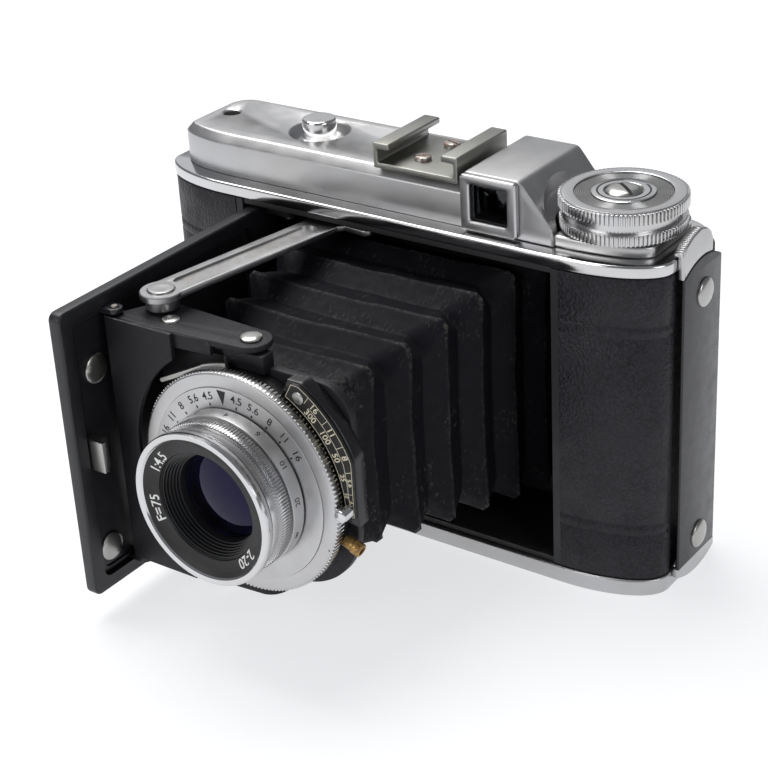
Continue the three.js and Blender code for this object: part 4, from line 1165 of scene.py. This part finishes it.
def on_red(x0, x1, half, r, n):
    """A rectangle at the red window, from x0 to x1 of its middle."""
    return rectangle(RED[0] + x0, RED[0] + x1, RED[1] - half, RED[1] + half, r, n)


cap = prism("y", on_red(-5.4, 5.4, 5.2, 1.5, 8), 31.6, 32.05, edge=0.2)
make("window_slide", "window_cover", cap, NICKEL, ["window_cover"])
ribs = [on_red(1.5 * k - 3.4, 1.5 * k - 2.7, 3.4, 0.3, 3) for k in range(5)]
ribs = joined(*[prism("y", rib, 31.9, 32.1, edge=0) for rib in ribs])
make("window_slide_ribs", "window_cover", ribs, NICKEL)
press = rectangle(-29, 29, LENS_Z - 31, LENS_Z + 31, 1.5, 6)
press = prism("y", press, 27.0, 28.0, [circle(4.6, *RED, 48)], edge=0.25)
make("pressure_pad", "pressure_plate", press, GLOSS, ["pressure_plate"])


def bowed(y0, y1, z, rise, n=28):
    """A line from y0 to y1 that lies at z at its ends and is raised by rise in the middle."""
    return [(y0 + (y1 - y0) * k / n, z + rise * (1 - (2 * k / n - 1) ** 2)) for k in range(n + 1)]


# The latch's top is an arch, with a lip inside it and serrations along its front slope.
ARCH = [(22.7, 75.0), (21.8, 76.9), (20.0, 78.3), (17.5, 79.0), (14.2, 78.5), (11.5, 77.3), (10.0, 76.0)]
under = [12.4 * k / 14 for k in range(15)]
under = [(10.3 + t, 70.6 + 2.3 * (1 - (2 * (t - 0.4) / 15.9 - 1) ** 2)) for t in under]
leaf = prism("x", fillet(under + ARCH, 0.5, 3), 62.45, 63.85, edge=0.4, steps=5)
lip = prism("x", fillet([(10.0, 75.3), (22.4, 75.3)] + ARCH[1:], 0.5, 3), 61.6, 62.9, edge=0.35, steps=4)
ribs = []
for (ya, za), (yb, zb), count in zip(ARCH[:3:-1], ARCH[-2:2:-1], (4, 6, 5)):
    for k in range(count):
        t = (k + 0.6) / count
        rib = circle(0.24, ya + (yb - ya) * t, za + (zb - za) * t - 0.08, 10)
        ribs.append(prism("x", rib, 61.95, 63.6, edge=0.08, steps=2))
waist = [(10.8, 4.6), (26.2, 4.6), (26.2, 69.8), (22.4, 71.2), (22.4, 72.9), (10.8, 72.9), (10.8, 70.9),
         (13.5, 69.5), (13.5, 7.0), (10.6, 5.2)]
waist = prism("x", fillet(waist, 0.6, 3), 62.45, 63.0, edge=0.15)
foot = fillet(bowed(10.4, 26.6, 2.4, -1.9) + [(26.6, 4.4), (10.4, 4.4)], 0.3, 2)
foot = prism("x", foot, 62.45, 63.9, edge=0.3, steps=4)
make("latch_leaf", "latch", joined(leaf, lip, *ribs), SATIN)
make("latch_slide_plate", "latch", waist, SATIN, ["latch_strap"])
make("latch_foot", "latch", foot, SATIN)
outline = fillet(bowed(10.7, 26.6, 3.6, -1.6) + bowed(10.7, 26.6, 70.4, 2.3)[::-1], 0.5, 2)
make("latch_cover", "latch", prism("x", outline, 63.05, 63.8, edge=0.3), LATCH_PAINT, ["latch_plate"])
for name, z in (("upper", 64.7), ("lower", 8.8)):
    make(f"latch_stud_{name}", "latch", dome(63.7, 3.1, 19.4, z, 1.2), NICKEL, [f"latch_rivet_{name}"])

# ---- film path
SPOOL_HALF, SPOOL_X, ROLLER_X = 31.8, 48.4, 31.8
flange = [(2.7, 0.0), (11.4, 0.0), (11.7, 0.2), (11.7, 0.8), (11.4, 1.0), (6.2, 1.0), (6.0, 1.3)]
profile = [(r, LENS_Z - SPOOL_HALF + h) for r, h in flange]
profile += [(r, LENS_Z + SPOOL_HALF - h) for r, h in reversed(flange)]
for name, x in (("takeup_spool", SPOOL_X), ("supply_spool", -SPOOL_X)):
    make(name + "_turned", name, lathe("z", profile, x, 14.3, 72, closed=True), WOOD, [name])
roller = [(0.8, 4.9), (0.8, 7.2), (1.8, 7.2), (2.0, 7.4), (2.0, 68.6), (1.8, 68.8), (0.8, 68.8), (0.8, 71.1)]
for name, x in (("left", -ROLLER_X), ("right", ROLLER_X)):
    made = lathe("z", roller, x, 25.2, 40)
    make(f"roller_{name}_turned", f"roller_{name}", made, NICKEL, [f"film_roller_{name}"])

refined("body_casting", DULL, 0.2)
for node in ("door_hinge_pin_top", "door_hinge_pin_bottom", "back_hinge_pin"):
    refined(node, PIN_STEEL, 0.1)

# ---- floor, light, camera
PAPER = (0.32, 0.32, 0.325)
ground = bpy.data.meshes.new("ground")
ground.from_pydata([(-6, -6, 0), (6, -6, 0), (6, 6, 0), (-6, 6, 0)], [], [(0, 1, 2, 3)])
floor = add("ground", ground)
paper = Finish("paper", PAPER, 0.0, 0.7, Emission_Color=(0.97, 0.98, 1.0, 1), Emission_Strength=0.7)
paper.color(paper.blend(paper.noise(120, 3), PAPER, (0.312, 0.314, 0.32)))
ground.materials.append(paper.mat)


def softbox(name, place, aim_z, width, height, power, tint=(1, 1, 1)):
    """An area light that looks at a point above the origin."""
    light = bpy.data.lights.new(name, "AREA")
    light.shape = "RECTANGLE"
    light.size, light.size_y = width, height
    light.energy = power
    light.color = tint
    obj = add(name, light)
    obj.location = place
    obj.rotation_euler = (Vector((0, 0, aim_z)) - Vector(place)).to_track_quat("-Z", "Y").to_euler()


softbox("key_box", (-0.35, 0.10, 0.85), 0.04, 0.7, 0.6, 9.0, (1.0, 0.995, 0.985))
softbox("side_box", (0.75, -0.25, 0.45), 0.04, 0.4, 0.4, 1.6, (0.97, 0.98, 1.0))
softbox("front_box", (-0.25, -0.8, 0.40), 0.04, 0.5, 0.35, 2.0)
softbox("back_box", (-0.85, 1.15, 0.80), 0.05, 1.4, 0.9, 2.0, (0.98, 0.99, 1.0))
world = bpy.data.worlds.new("studio")
world.use_nodes = True
background = world.node_tree.nodes["Background"].inputs
background["Color"].default_value = (0.93, 0.95, 1.0, 1)
background["Strength"].default_value = 0.22
bpy.context.scene.world = world
bpy.context.scene.view_settings.view_transform = "Standard"

# Fitted to the photograph.
lens_data = bpy.data.cameras.new("photo_camera")
lens_data.lens = 90.42
lens_data.sensor_width = 36.0
lens_data.clip_start = 0.01
camera = add("photo_camera", lens_data)
camera.matrix_world = Matrix((
    (0.81652, -0.22765, 0.53055, 0.2182),
    (0.57509, 0.40164, -0.71272, -0.3116),
    (-0.05084, 0.88706, 0.45886, 0.2264),
    (0, 0, 0, 1),
))
bpy.context.scene.camera = camera
